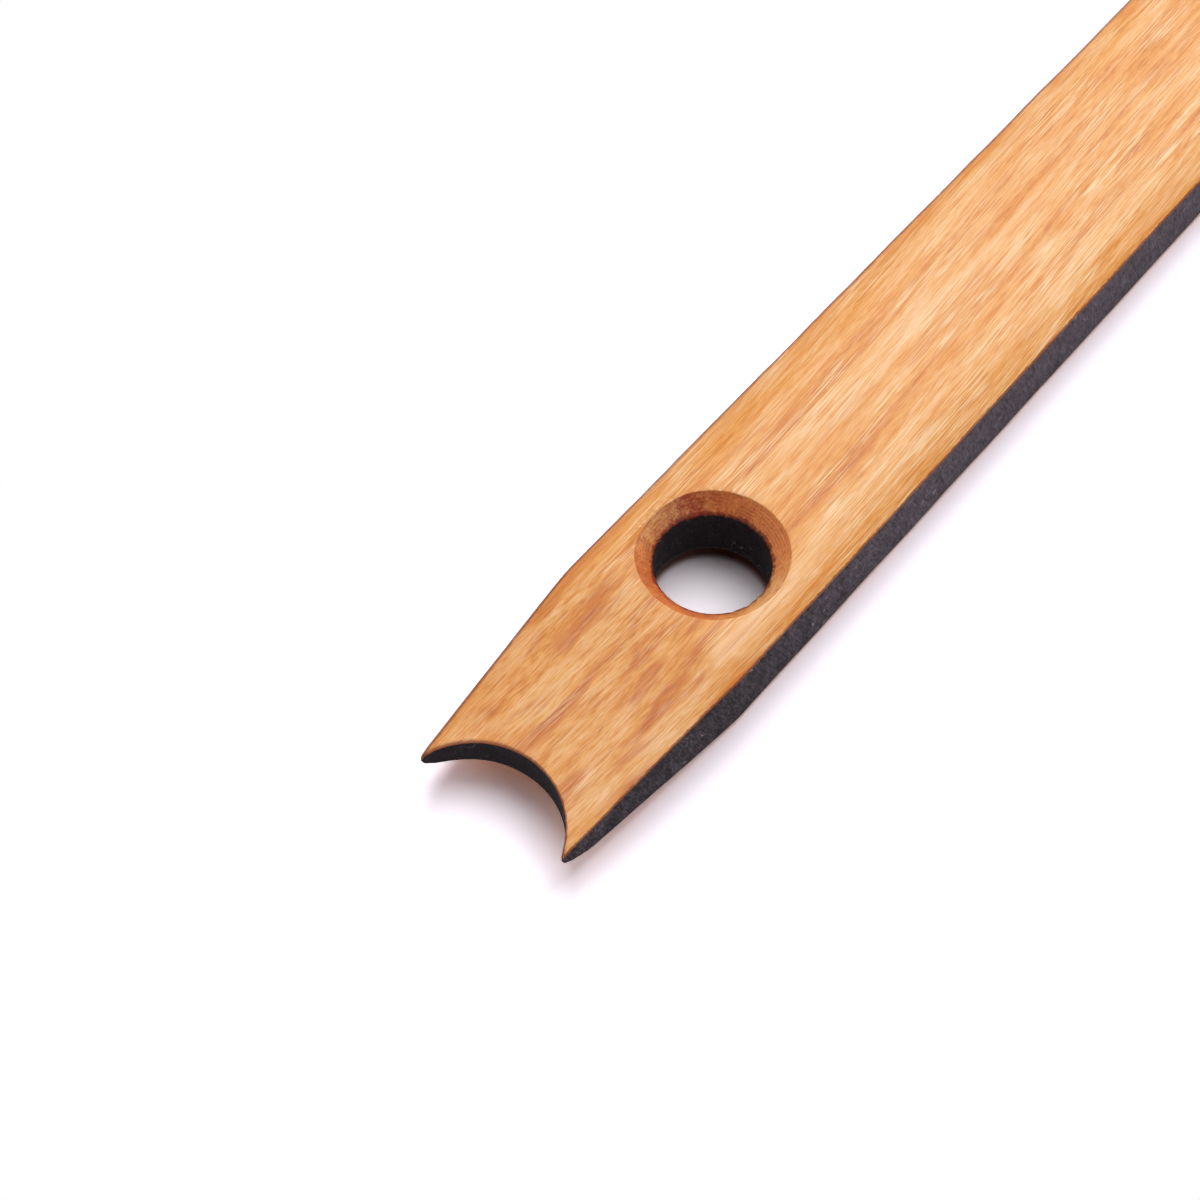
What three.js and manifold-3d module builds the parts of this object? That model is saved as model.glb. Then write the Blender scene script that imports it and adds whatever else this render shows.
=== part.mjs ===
// A potter's foot stick, cut from one hardwood board.
// The foot end is concave and thinned from both faces, a countersunk hanging hole sits behind it, both
// faces are eased to soft shoulders all round, and the far end is a plain round.
// Millimetres. X runs from the foot tips to the far end, Z points up, and the origin is the middle of the
// underside.
import * as THREE from "three";
import { mergeVertices, toCreasedNormals } from "three/addons/utils/BufferGeometryUtils.js";
import Module from "manifold-3d";

// Board
const LENGTH = 203; // from the foot tips to the far end
const WIDTH = 22.6; // between the two parallel sides
const THICKNESS = 9.8; // between the two faces

// Shoulders that ease both faces down to the upright cut wall
const SHOULDER_DROP = 1.5; // from the flat of the upper face down to the edge of the wall
const UNDER_SHOULDER_DROP = 0.7; // from the flat of the under face up to the edge of the wall
const SHOULDER_WIDTH = 5; // from the wall in to the flat of the face

// Foot end, in plan
const TIP_SPAN = 18.9; // between the two tapered sides, in line with the ends of the tips
const TIP_RADIUS = 0.2; // blunting of each tip
const NOTCH_DEPTH = 6.2; // from the tips to the deepest point of the concave end
const TAPER_LENGTH = 26.2; // from the tips to where the sides run parallel

// Foot end, in side view
const THINNING_LENGTH = 27.9; // from the tips to where the two faces start to thin
const TIP_THICKNESS = 2.3; // left at the tips
const TIP_RISE = 0.3; // of the middle of the tips above the middle of the board
const THINNING_HOLLOW = 0.2; // how far each thinned face dips below a straight bevel
const UNDER_SIDE_SHARE = 0.68; // of the under face's thinning that its two sides get
const TOE_LENGTH = 4.5; // from the tips to where the sides of the under face have only that share
const TIP_ROUNDING_ABOVE = 0.8; // of the ends of the tips, into the upper face
const TIP_ROUNDING_BELOW = 1.2; // of the ends of the tips, into the under face
const TIP_BLUNTNESS = 0.96; // share of that rounding at which the tips end
const SOFTENING = 0.4; // height over which the thinned part and the flat of a face run together
const TIGHTNESS = 2; // with which the thinned part and the shoulders run together; more is tighter

// Hanging hole
const HOLE_FROM_TIPS = 36.4; // from the tips to the centre of the hole
const HOLE_DIAMETER = 12.7;
const COUNTERSINK_DEPTH = 1.92; // on each face
const COUNTERSINK_DIAMETER = 16.5; // at the mouth, on each face

// Fineness of the faceted surfaces
const NOTCH_STEPS = 32;
const TIP_STEPS = 6;
const ROUND_END_STEPS = 32;
const HOLE_STEPS = 64;
const TOE_STATIONS = 6; // lines across the rounded ends of the tips
const FOOT_STATIONS = 20; // lines across the rest of the thinned part of a face
const END_STATIONS = 14; // lines across the rounded end of a face
const SHOULDER_ROWS = 7; // rows along each shoulder
const FLAT_ROWS = 4; // rows along the flat of a face
const OVERCUT = 1; // how far a cutting shape runs past what it cuts
const WELD = 1e-4; // corners closer than this are one
const CREASE_ANGLE = THREE.MathUtils.degToRad(30); // faces that meet more sharply are shaded with an edge

// Places that follow from the sizes
const tipX = -LENGTH / 2;
const taperEndX = tipX + TAPER_LENGTH;
const taperSlope = (WIDTH - TIP_SPAN) / 2 / TAPER_LENGTH; // of each tapered side
const thinningEndX = tipX + THINNING_LENGTH;
const bevelDrop = (THICKNESS - TIP_THICKNESS) / 2; // of each face at the tips
const flatStartX = thinningEndX + (SOFTENING * THINNING_LENGTH) / bevelDrop;
const holeX = tipX + HOLE_FROM_TIPS;
const halfWidth = WIDTH / 2;
const roundEndX = LENGTH / 2 - halfWidth; // centre of the round far end
const middleZ = THICKNESS / 2;

const wasm = await Module();
wasm.setup();

// Numbers from one value to another in equal steps, both ends included.
function spaced(from, to, steps) {
  return Array.from({ length: steps + 1 }, (_, i) => from + ((to - from) * i) / steps);
}

// A closed three.js geometry as a solid that can be cut and joined.
function toSolid(geometry) {
  const bare = new THREE.BufferGeometry();
  bare.setAttribute("position", geometry.getAttribute("position"));
  bare.setIndex(geometry.getIndex());
  const merged = mergeVertices(bare, WELD);
  const triangles = [];
  for (let i = 0; i < merged.index.count; i += 3) {
    const [a, b, c] = merged.index.array.slice(i, i + 3);
    if (a !== b && b !== c && c !== a) triangles.push(a, b, c);
  }
  return new wasm.Manifold(
    new wasm.Mesh({
      numProp: 3,
      vertProperties: new Float32Array(merged.attributes.position.array),
      triVerts: new Uint32Array(triangles),
    }),
  );
}

// A solid as a geometry with its edges kept sharp and its curves shaded smooth.
function toGeometry(solid) {
  const mesh = solid.getMesh();
  const geometry = new THREE.BufferGeometry();
  geometry.setAttribute("position", new THREE.BufferAttribute(mesh.vertProperties, 3));
  geometry.setIndex(new THREE.BufferAttribute(mesh.triVerts, 1));
  return toCreasedNormals(geometry, CREASE_ANGLE);
}

// Half the width of the plan at x, on the tapered foot or the parallel body.
function sideAt(x) {
  return halfWidth - taperSlope * Math.max(0, taperEndX - x);
}

// The small circle that blunts the tip on the +Y side, resting against the tapered side.
function tipCircle() {
  const y = TIP_SPAN / 2 + (taperSlope - Math.hypot(1, taperSlope)) * TIP_RADIUS;
  return { x: tipX + TIP_RADIUS, y, sideAngle: Math.PI / 2 + Math.atan(taperSlope) };
}

// The circle of the concave end, which touches both tip circles, and the angle at which it does.
function notchCircle(tip) {
  const radius = (NOTCH_DEPTH ** 2 + tip.y ** 2) / (2 * NOTCH_DEPTH) - TIP_RADIUS;
  const x = tipX + NOTCH_DEPTH - radius;
  return { x, radius, tipAngle: Math.atan2(tip.y, tip.x - x) };
}

// Points of an arc, turning from one angle to the other.
function arc(x, y, radius, from, to, steps) {
  return new THREE.EllipseCurve(x, y, radius, radius, from, to, to < from).getPoints(steps);
}

// The plan, as the board is cut out: straight walls all the way through.
function cutOutline() {
  const tip = tipCircle();
  const notch = notchCircle(tip);
  const turn = notch.tipAngle + Math.PI;
  const outline = new THREE.Shape([
    new THREE.Vector2(taperEndX, -halfWidth),
    ...arc(roundEndX, 0, halfWidth, -Math.PI / 2, Math.PI / 2, ROUND_END_STEPS),
    new THREE.Vector2(taperEndX, halfWidth),
    ...arc(tip.x, tip.y, TIP_RADIUS, tip.sideAngle, turn, TIP_STEPS),
    ...arc(notch.x, 0, notch.radius, notch.tipAngle, -notch.tipAngle, NOTCH_STEPS).slice(1, -1),
    ...arc(tip.x, -tip.y, TIP_RADIUS, -turn, -tip.sideAngle, TIP_STEPS),
  ]);
  const blank = new THREE.ExtrudeGeometry(outline, {
    depth: THICKNESS + 2 * OVERCUT,
    bevelEnabled: false,
  });
  return blank.translate(0, 0, -OVERCUT);
}

// How far the shoulder has dropped from the flat of a face at a point of the plan.
function shoulderDrop(x, y, face) {
  const inset = x > roundEndX ? halfWidth - Math.hypot(x - roundEndX, y) : sideAt(x) - Math.abs(y);
  const atWall = face > 0 ? SHOULDER_DROP : UNDER_SHOULDER_DROP;
  return atWall * Math.max(0, 1 - inset / SHOULDER_WIDTH) ** 2;
}

// How far the foot is thinned from the flat of a face at x: a hollow bevel that starts softly.
function thinningDrop(x) {
  const share = (thinningEndX - x) / THINNING_LENGTH;
  const drop = bevelDrop * share + 4 * THINNING_HOLLOW * share * (1 - share);
  const overlap = Math.max(0, SOFTENING - Math.abs(drop));
  return Math.max(0, drop) + overlap ** 2 / (4 * SOFTENING);
}

// Share of the thinning that a point of the plan gets: all on the upper face, less at the under face's sides.
function thinningShare(x, y, face) {
  if (face > 0) return 1;
  const pastToe = THREE.MathUtils.smoothstep(x, tipX, tipX + TOE_LENGTH);
  return 1 - (1 - UNDER_SIDE_SHARE) * pastToe * Math.min(1, Math.abs(y) / sideAt(x)) ** 4;
}

// How far the rounded ends of the tips turn in from a face at x.
function noseDrop(x, face) {
  const radius = face > 0 ? TIP_ROUNDING_ABOVE : TIP_ROUNDING_BELOW;
  const short = Math.min(Math.max(0, tipX + radius - x), TIP_BLUNTNESS * radius);
  return radius - Math.sqrt(radius ** 2 - short ** 2);
}

// The height of the upper face (face 1) or the under face (face -1) at a point of the plan.
function faceZ(x, y, face) {
  const thinning = thinningDrop(x) * thinningShare(x, y, face);
  const drop = (shoulderDrop(x, y, face) ** TIGHTNESS + thinning ** TIGHTNESS) ** (1 / TIGHTNESS);
  const rise = (TIP_RISE * Math.max(0, thinningEndX - x)) / THINNING_LENGTH;
  return middleZ + rise + face * (THICKNESS / 2 - drop - noseDrop(x, face));
}

// Places across the board at which a face is measured, from the -Y side to the +Y side.
function rowsAt(x) {
  const side = sideAt(x);
  const shoulder = spaced(side + OVERCUT, side - SHOULDER_WIDTH, SHOULDER_ROWS);
  const flat = spaced(SHOULDER_WIDTH - side, side - SHOULDER_WIDTH, FLAT_ROWS).slice(1, -1);
  return [...shoulder.map((y) => -y), ...flat, ...shoulder.reverse()];
}

// A board with both faces dressed to their final heights, a little larger than the plan.
function dressedBoard() {
  const toeEndX = tipX + Math.max(TIP_ROUNDING_ABOVE, TIP_ROUNDING_BELOW);
  const stations = [
    tipX - OVERCUT,
    ...spaced(tipX, toeEndX, TOE_STATIONS).slice(0, -1),
    ...spaced(toeEndX, flatStartX, FOOT_STATIONS),
    ...spaced(roundEndX, LENGTH / 2 + OVERCUT, END_STATIONS),
  ];
  const alongCells = stations.length - 1;
  const acrossCells = rowsAt(0).length - 1;
  const board = new THREE.BoxGeometry(1, 1, 1, alongCells, acrossCells, 1);
  const place = board.getAttribute("position");
  for (let i = 0; i < place.count; i++) {
    const x = stations[Math.round((place.getX(i) + 0.5) * alongCells)];
    const y = rowsAt(x)[Math.round((place.getY(i) + 0.5) * acrossCells)];
    place.setXYZ(i, x, y, faceZ(x, y, Math.sign(place.getZ(i))));
  }
  return board;
}

// The hanging hole with a countersink at each face.
function holeCutter() {
  const boreRadius = HOLE_DIAMETER / 2;
  const flare = (COUNTERSINK_DIAMETER / 2 - boreRadius) / COUNTERSINK_DEPTH;
  const mouthRadius = boreRadius + flare * (COUNTERSINK_DEPTH + OVERCUT);
  const profile = [
    new THREE.Vector2(0, -OVERCUT),
    new THREE.Vector2(mouthRadius, -OVERCUT),
    new THREE.Vector2(boreRadius, COUNTERSINK_DEPTH),
    new THREE.Vector2(boreRadius, THICKNESS - COUNTERSINK_DEPTH),
    new THREE.Vector2(mouthRadius, THICKNESS + OVERCUT),
    new THREE.Vector2(0, THICKNESS + OVERCUT),
  ];
  return new THREE.LatheGeometry(profile, HOLE_STEPS).rotateX(Math.PI / 2).translate(holeX, 0, 0);
}

// The stick: the dressed board, cut to its plan and pierced.
function footStick() {
  const solid = toSolid(dressedBoard()).intersect(toSolid(cutOutline())).subtract(toSolid(holeCutter()));
  const wood = new THREE.MeshStandardMaterial({ color: 0xdf9f66, roughness: 0.5, metalness: 0 });
  const stick = new THREE.Mesh(toGeometry(solid), wood);
  stick.name = "foot_stick";
  return stick;
}

const group = new THREE.Group();
group.add(footStick());

export default group;
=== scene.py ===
"""The looks of a potter's foot stick: oiled wood, charred cut walls and a countersunk hanging hole.

The stick is one board. Both faces ease down to soft shoulders, the foot end is concave and thinned from
both faces, and the far end is a plain round. Its shape is worked out in millimetres and brought to
metres once it is whole, and its patterns are measured in millimetres too.
"""

import logging
import math
from dataclasses import dataclass, field
from enum import Enum
from typing import Any, Optional, Union

import bmesh
import bpy
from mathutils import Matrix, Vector, noise


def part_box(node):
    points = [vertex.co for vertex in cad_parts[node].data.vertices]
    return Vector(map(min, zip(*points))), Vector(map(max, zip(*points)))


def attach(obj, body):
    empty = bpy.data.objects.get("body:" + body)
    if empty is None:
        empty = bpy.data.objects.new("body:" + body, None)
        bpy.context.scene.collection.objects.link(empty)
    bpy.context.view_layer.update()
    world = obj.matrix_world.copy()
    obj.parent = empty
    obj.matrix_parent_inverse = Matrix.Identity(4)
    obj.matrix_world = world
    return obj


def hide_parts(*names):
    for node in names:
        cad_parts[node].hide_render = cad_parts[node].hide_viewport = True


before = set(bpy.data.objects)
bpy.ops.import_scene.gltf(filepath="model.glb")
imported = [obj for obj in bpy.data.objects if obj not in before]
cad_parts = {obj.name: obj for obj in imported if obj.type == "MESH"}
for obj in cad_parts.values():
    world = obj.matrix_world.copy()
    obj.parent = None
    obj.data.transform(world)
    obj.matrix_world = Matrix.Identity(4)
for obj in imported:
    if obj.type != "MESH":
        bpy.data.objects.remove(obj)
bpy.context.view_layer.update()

MM = 0.001
NODE = "foot_stick"
BODY = "root"
RIM = "rim"
MOUTH = "mouth"
NEAR = 1e-4  # millimetres within which two places are the same
NEAR_CIRCLE = 10 * NEAR  # the same for the circles round the hole
NEAR_MOUTH = 20 * NEAR  # the same for the mouth of a countersink
WELD = 2e-3  # millimetres within which points that a sweep brings together are joined
SETTLING = 24  # rounds in which the start of a row settles on the concave end
SLANT = math.sqrt(2)  # length of a countersink's flank for each millimetre of its depth
WHITE = (1.0, 1.0, 1.0, 1.0)
log = logging.getLogger("foot_stick")

Input = Union[float, tuple, bpy.types.NodeSocket]
Span = tuple[float, float]
Triple = tuple[float, float, float]
Colour = tuple[float, float, float, float]
Stops = tuple[tuple[float, Colour], ...]


class Face(Enum):
    """The two broad faces of the board."""

    UPPER = 1
    UNDER = -1


def blend(start: float, end: float, share: float) -> float:
    """Value that lies a share of the way from start to end."""
    return start + (end - start) * share


@dataclass(frozen=True)
class Ripple:
    """One wave that sanding by hand has left along the rims.

    Attributes:
        pace: Its fineness along the board, per millimetre.
        side_step: How far from the middle of the noise the two sides read it.
        face_step: How far from the middle of the noise the two faces read it.
        share: How much it counts.
    """

    pace: float
    side_step: float
    face_step: float
    share: float


@dataclass(frozen=True)
class Board:
    """Sizes of the stick in millimetres, and the shape that follows from them.

    Attributes:
        length: From the foot tips to the far end, along X.
        width: Between the parallel sides, along Y.
        thickness: Between the flats of the two faces, along Z.
        shoulder_drop: From the flat of the upper face down to the edge of the wall.
        under_shoulder_drop: From the flat of the under face up to the edge of the wall.
        shoulder_width: From the wall in to the flat of the face.
        tip_span: Between the tapered sides, in line with the ends of the tips.
        tip_radius: Blunting of each tip in plan.
        notch_depth: From the tips to the deepest point of the concave end.
        taper_length: From the tips to where the sides run parallel.
        thinning_length: From the tips to where the faces start to thin.
        tip_thickness: Left between the faces at the tips.
        tip_rise: Of the middle of the tips above the middle of the board.
        thinning_hollow: How far a thinned face dips below a straight bevel.
        softening: Height over which the bevel and the flat run together.
        tightness: With which the bevel and the shoulders run together.
        hole_from_tips: From the tips to the centre of the hole.
        bore_radius: Radius of the hole's straight wall.
        sink_depth: Depth of each countersink.
        sink_radius: Radius of each countersink in the flat of a face.
        rim_radius: Rounding of the edge between a face and a wall.
        sink_edge: Rounding of the two edges of each countersink.
        under_side_share: Share of the under face's thinning that its two sides get.
        side_power: With which that share sets in towards the sides.
        toe_length: From the tips to where those sides have only that share.
        nose_above: Rounding of the ends of the tips, into the upper face.
        nose_below: Rounding of the ends of the tips, into the under face.
        nose_bluntness: Share of that rounding at which the tips end.
        unevenness: How far sanding by hand has left the rims of the faces high or low.
        ripples: The waves of that unevenness.
        foot_evenness: Share of the unevenness that is gone where the foot is thinned.
    """

    length: float
    width: float
    thickness: float
    shoulder_drop: float = 1.5
    under_shoulder_drop: float = 0.7
    shoulder_width: float = 5.0
    tip_span: float = 18.9
    tip_radius: float = 0.2
    notch_depth: float = 6.2
    taper_length: float = 26.2
    thinning_length: float = 27.9
    tip_thickness: float = 2.3
    tip_rise: float = 0.3
    thinning_hollow: float = 0.2
    softening: float = 0.4
    tightness: float = 2.0
    hole_from_tips: float = 36.4
    bore_radius: float = 6.35
    sink_depth: float = 1.92
    sink_radius: float = 8.25
    rim_radius: float = 0.15
    sink_edge: float = 0.12
    under_side_share: float = 0.68
    side_power: int = 4
    toe_length: float = 4.5
    nose_above: float = 0.8
    nose_below: float = 1.2
    nose_bluntness: float = 0.96
    unevenness: float = 0.16
    ripples: tuple[Ripple, ...] = (Ripple(0.12, 3.3, 5.1, 1.0), Ripple(0.45, 7.7, 9.4, 0.4))
    foot_evenness: float = 0.6

    @property
    def tip_x(self) -> float:
        """Place of the ends of the tips."""
        return -self.length / 2

    @property
    def half_width(self) -> float:
        """From the middle of the board to a parallel side."""
        return self.width / 2

    @property
    def taper_end_x(self) -> float:
        """Where the tapered sides meet the parallel ones."""
        return self.tip_x + self.taper_length

    @property
    def taper_slope(self) -> float:
        """Slope of each tapered side in plan."""
        return (self.width - self.tip_span) / 2 / self.taper_length

    @property
    def thinning_end_x(self) -> float:
        """Where the faces start to thin."""
        return self.tip_x + self.thinning_length

    @property
    def hole_x(self) -> float:
        """Centre of the hole."""
        return self.tip_x + self.hole_from_tips

    @property
    def round_end_x(self) -> float:
        """Centre of the round far end."""
        return self.length / 2 - self.half_width

    @property
    def middle_z(self) -> float:
        """Height midway between the faces."""
        return self.thickness / 2

    @property
    def tip_circle(self) -> tuple[float, float]:
        """Centre of the circle that blunts the tip on the +Y side."""
        lean = self.taper_slope - math.hypot(1, self.taper_slope)
        return self.tip_x + self.tip_radius, self.tip_span / 2 + lean * self.tip_radius

    @property
    def notch_circle(self) -> tuple[float, float]:
        """Centre on X and radius of the concave end, which touches both tip circles.

        Returns:
            The X of the centre, and the radius.
        """
        reach = self.tip_circle[1]
        radius = (self.notch_depth**2 + reach**2) / (2 * self.notch_depth) - self.tip_radius
        return self.tip_x + self.notch_depth - radius, radius

    def side_at(self, x: float) -> float:
        """Half the width of the plan at x, on the tapered foot or the parallel body."""
        return self.half_width - self.taper_slope * max(0.0, self.taper_end_x - x)

    def gap(self, x: float, y: float) -> float:
        """Measure how far a point of the plan lies inside the outline.

        Args:
            x: Place along the board.
            y: Place across it.

        Returns:
            The distance to the nearest stretch of the outline.
        """
        across = abs(y)
        if x > self.round_end_x:
            return self.half_width - math.hypot(x - self.round_end_x, across)
        tip_x, tip_y = self.tip_circle
        notch_x, notch_radius = self.notch_circle
        out = Vector((x - tip_x, across - tip_y))
        side_normal = Vector((-self.taper_slope, 1)).normalized()
        notch_normal = Vector((notch_x - tip_x, -tip_y)).normalized()
        before_side = out.x * side_normal.y - out.y * side_normal.x < 0
        before_notch = out.x * notch_normal.y - out.y * notch_normal.x > 0
        if before_side and before_notch:
            return self.tip_radius - out.length
        lean = math.hypot(1, self.taper_slope) if x < self.taper_end_x else 1.0
        to_side = (self.side_at(x) - across) / lean
        return min(to_side, math.hypot(x - notch_x, across) - notch_radius)

    def shoulder_drop_at(self, x: float, y: float, face: Face) -> float:
        """How far the shoulder has dropped from the flat of a face at a point of the plan.

        Args:
            x: Place along the board.
            y: Place across it.
            face: The upper or the under face.

        Returns:
            The drop in millimetres, which is 0 on the flat.
        """
        if x > self.round_end_x:
            inset = self.half_width - math.hypot(x - self.round_end_x, y)
        else:
            inset = self.side_at(x) - abs(y)
        at_wall = self.shoulder_drop if face is Face.UPPER else self.under_shoulder_drop
        return at_wall * max(0.0, 1 - inset / self.shoulder_width) ** 2

    def thinning_drop_at(self, x: float, y: float, face: Face) -> float:
        """How far the foot is thinned from the flat of a face at a point of the plan.

        Args:
            x: Place along the board.
            y: Place across it.
            face: The upper or the under face.

        Returns:
            The drop in millimetres, which is 0 along the body.
        """
        share = (self.thinning_end_x - x) / self.thinning_length
        straight = (self.thickness - self.tip_thickness) / 2 * share
        drop = straight + 4 * self.thinning_hollow * share * (1 - share)
        overlap = max(0.0, self.softening - abs(drop))
        drop = max(0.0, drop) + overlap**2 / (4 * self.softening)
        if face is Face.UPPER:
            return drop
        past = min(1.0, max(0.0, (x - self.tip_x) / self.toe_length))
        across = min(1.0, abs(y) / self.side_at(x)) ** self.side_power
        return drop * (1 - (1 - self.under_side_share) * past**2 * (3 - 2 * past) * across)

    def nose_drop_at(self, x: float, face: Face) -> float:
        """How far the rounded ends of the tips turn in from a face at x.

        Args:
            x: Place along the board.
            face: The upper or the under face.

        Returns:
            The drop in millimetres, which is 0 behind the rounding.
        """
        radius = self.nose_above if face is Face.UPPER else self.nose_below
        short = min(max(0.0, self.tip_x + radius - x), self.nose_bluntness * radius)
        return radius - math.sqrt(radius**2 - short**2)

    def sanding_at(self, x: float, y: float, face: Face) -> float:
        """How far the hand-sanded rim of a face is low, or high if negative, at a point of the plan.

        Args:
            x: Place along the board.
            y: Place across it.
            face: The upper or the under face.

        Returns:
            The drop in millimetres, which fades to 0 towards the flat.
        """
        side = math.copysign(1, y)
        waves = 0.0
        for ripple in self.ripples:
            read_at = Vector((x * ripple.pace, side * ripple.side_step, face.value * ripple.face_step))
            waves += ripple.share * noise.noise(read_at)
        reach = max(0.0, 1 - self.gap(x, y) / self.shoulder_width) ** 2
        thinned = min(1.0, self.thinning_drop_at(x, y, face) / self.shoulder_drop)
        return self.unevenness * reach * (1 - self.foot_evenness * thinned) * waves

    def face_height(self, x: float, y: float, face: Face) -> float:
        """Work out the height of a face at a point of the plan.

        Args:
            x: Place along the board.
            y: Place across it.
            face: The upper or the under face.

        Returns:
            The height in millimetres, before the rim is rounded.
        """
        shoulder = self.shoulder_drop_at(x, y, face) ** self.tightness
        thinning = self.thinning_drop_at(x, y, face) ** self.tightness
        drop = (shoulder + thinning) ** (1 / self.tightness)
        drop += self.nose_drop_at(x, face) + self.sanding_at(x, y, face)
        share = max(0.0, self.thinning_end_x - x) / self.thinning_length
        return self.middle_z + self.tip_rise * share + face.value * (self.thickness / 2 - drop)

    def rim_drop(self, gap: float) -> float:
        """How far the rounded rim has dropped, at a distance inside the outline."""
        short = max(0.0, self.rim_radius - max(0.0, gap))
        return self.rim_radius - math.sqrt(self.rim_radius**2 - short**2)

    def mouth_radius(self, angle: float) -> float:
        """Find where a countersink meets the face, which the shoulders lower at the sides.

        Args:
            angle: Direction from the centre of the hole, in radians.

        Returns:
            The radius at which the cone and the face have one height.
        """
        flare = (self.sink_radius - self.bore_radius) / self.sink_depth
        low, high = self.bore_radius, self.sink_radius + self.sink_depth
        while high - low > NEAR:
            radius = (low + high) / 2
            x, y = self.hole_x + radius * math.cos(angle), radius * math.sin(angle)
            cone = self.thickness - self.sink_depth + (radius - self.bore_radius) / flare
            if cone < self.face_height(x, y, Face.UPPER):
                low = radius
            else:
                high = radius
        return low


@dataclass
class FootStick:
    """The whole stick: one board, shaped, pierced and dressed.

    Attributes:
        board: The sizes and the shape.
        rim_insets: Rows along each side, measured in from the wall.
        rim_rings: Widths of the narrow rings in which the rims are rounded.
        inner_cells: Cells from the middle of the board to the innermost of those rows.
        window_half: Half length of the stretch of rows that is opened for the hole.
        foot_cells: Cells along the foot, from the concave end to that stretch.
        body_cells: Cells along the body, from that stretch to the round end.
        end_steps: Steps round the far end.
        tip_steps: Steps round each tip.
        mouth_shares: Rings between the opened stretch and the mouth of the hole.
        wall_cells: Cells down the outer wall.
        wall_support: Depth of the first and the last of them, which keep the rims crisp.
        cone_cells: Cells down each countersink.
        bore_cells: Cells down the straight wall of the hole.
        edge_steps: Steps round each rounded edge of a countersink.
        bare_wall: Depth below a rim from which a wall has the dull skin of the char alone.
    """

    board: Board
    rim_insets: tuple[float, ...] = (0.0, 0.45, 1.0, 1.7)
    rim_rings: tuple[float, ...] = (0.02, 0.05, 0.08)
    inner_cells: int = 12
    window_half: float = 9.9
    foot_cells: int = 26
    body_cells: int = 150
    end_steps: int = 48
    tip_steps: int = 8
    mouth_shares: tuple[float, ...] = (0.3, 0.55, 0.75, 0.89, 1.0)
    wall_cells: int = 10
    wall_support: float = 0.2
    cone_cells: int = 5
    bore_cells: int = 10
    edge_steps: int = 2
    bare_wall: float = 0.05

    def build(self) -> bpy.types.Object:
        """Model the stick.

        Returns:
            The finished object, in metres, with its place in its mesh.
        """
        bm = bmesh.new()
        self._lay_plan(bm)
        self._round_far_end(bm)
        self._blunt_tips(bm)
        self._ring_rims(bm)
        self._open_hole(bm)
        self._thicken(bm)
        self._shape(bm)
        self._ease_sink_edges(bm)
        bmesh.ops.recalc_face_normals(bm, faces=bm.faces)
        rims, mouths = self._measure(bm)
        bmesh.ops.scale(bm, vec=(MM, MM, MM), verts=bm.verts)
        mesh = bpy.data.meshes.new(NODE)
        bm.to_mesh(mesh)
        bm.free()
        self._store(mesh, RIM, rims)
        self._store(mesh, MOUTH, mouths)
        mesh.shade_smooth()
        stick = bpy.data.objects.new("stick", mesh)
        bpy.context.scene.collection.objects.link(stick)
        return stick

    def _row(self, step: int, side: float) -> float:
        """Find the place of one row across the board.

        Args:
            step: Count of rows from the middle, negative on the -Y side.
            side: Half the width of the board there.

        Returns:
            The row's Y.
        """
        away = abs(step)
        if away <= self.inner_cells:
            place = away / self.inner_cells * (side - self.rim_insets[-1])
        else:
            place = side - self.rim_insets[self.inner_cells - away - 1]
        return math.copysign(place, step)

    def _foot_place(self, share: float, step: int) -> tuple[float, float]:
        """Find a point of the foot's plan.

        Args:
            share: Share of the way from the concave end to the opened stretch.
            step: Row number.

        Returns:
            The point's X and Y.
        """
        notch_x, notch_radius = self.board.notch_circle
        start = self.board.tip_x
        for _ in range(SETTLING):
            across = self._row(step, self.board.side_at(start))
            start = notch_x + math.sqrt(notch_radius**2 - across**2)
        x = blend(start, self.board.hole_x - self.window_half, share)
        return x, self._row(step, self.board.side_at(x))

    def _lay_plan(self, bm: bmesh.types.BMesh) -> None:
        """Lay a grid at level 1 over the plan, from the concave end to the centre of the round end.

        Args:
            bm: The empty shape.
        """
        window_cells = 2 * self.inner_cells
        along = self.foot_cells + window_cells + self.body_cells
        half_rows = self.inner_cells + len(self.rim_insets) - 1
        bmesh.ops.create_grid(bm, x_segments=along, y_segments=2 * half_rows, size=1.0)
        window_start = self.board.hole_x - self.window_half
        window_end = self.board.hole_x + self.window_half
        for vert in bm.verts:
            column = round((vert.co.x + 1) / 2 * along)
            step = round(vert.co.y * half_rows)
            if column <= self.foot_cells:
                x, y = self._foot_place(column / self.foot_cells, step)
            elif column <= self.foot_cells + window_cells:
                x = blend(window_start, window_end, (column - self.foot_cells) / window_cells)
                y = self._row(step, self.board.side_at(x))
            else:
                share = (column - self.foot_cells - window_cells) / self.body_cells
                x = blend(window_end, self.board.round_end_x, share)
                y = self._row(step, self.board.half_width)
            vert.co = (x, y, 1.0)

    def _round_far_end(self, bm: bmesh.types.BMesh) -> None:
        """Sweep the last half row of the grid round the centre of the far end.

        Args:
            bm: The shape so far, in millimetres.
        """
        centre = Vector((self.board.round_end_x, 0, 1))
        last = [
            edge
            for edge in bm.edges
            if all(abs(v.co.x - centre.x) < NEAR and v.co.y > -NEAR for v in edge.verts)
        ]
        ends = [v for v in bm.verts if any(edge in last for edge in v.link_edges)]
        bmesh.ops.spin(
            bm,
            geom=[*last, *ends],
            cent=centre,
            axis=(0, 0, -1),
            angle=math.pi,
            steps=self.end_steps,
            use_merge=False,
        )
        bmesh.ops.remove_doubles(bm, verts=bm.verts, dist=WELD)
        bmesh.ops.recalc_face_normals(bm, faces=bm.faces)

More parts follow.
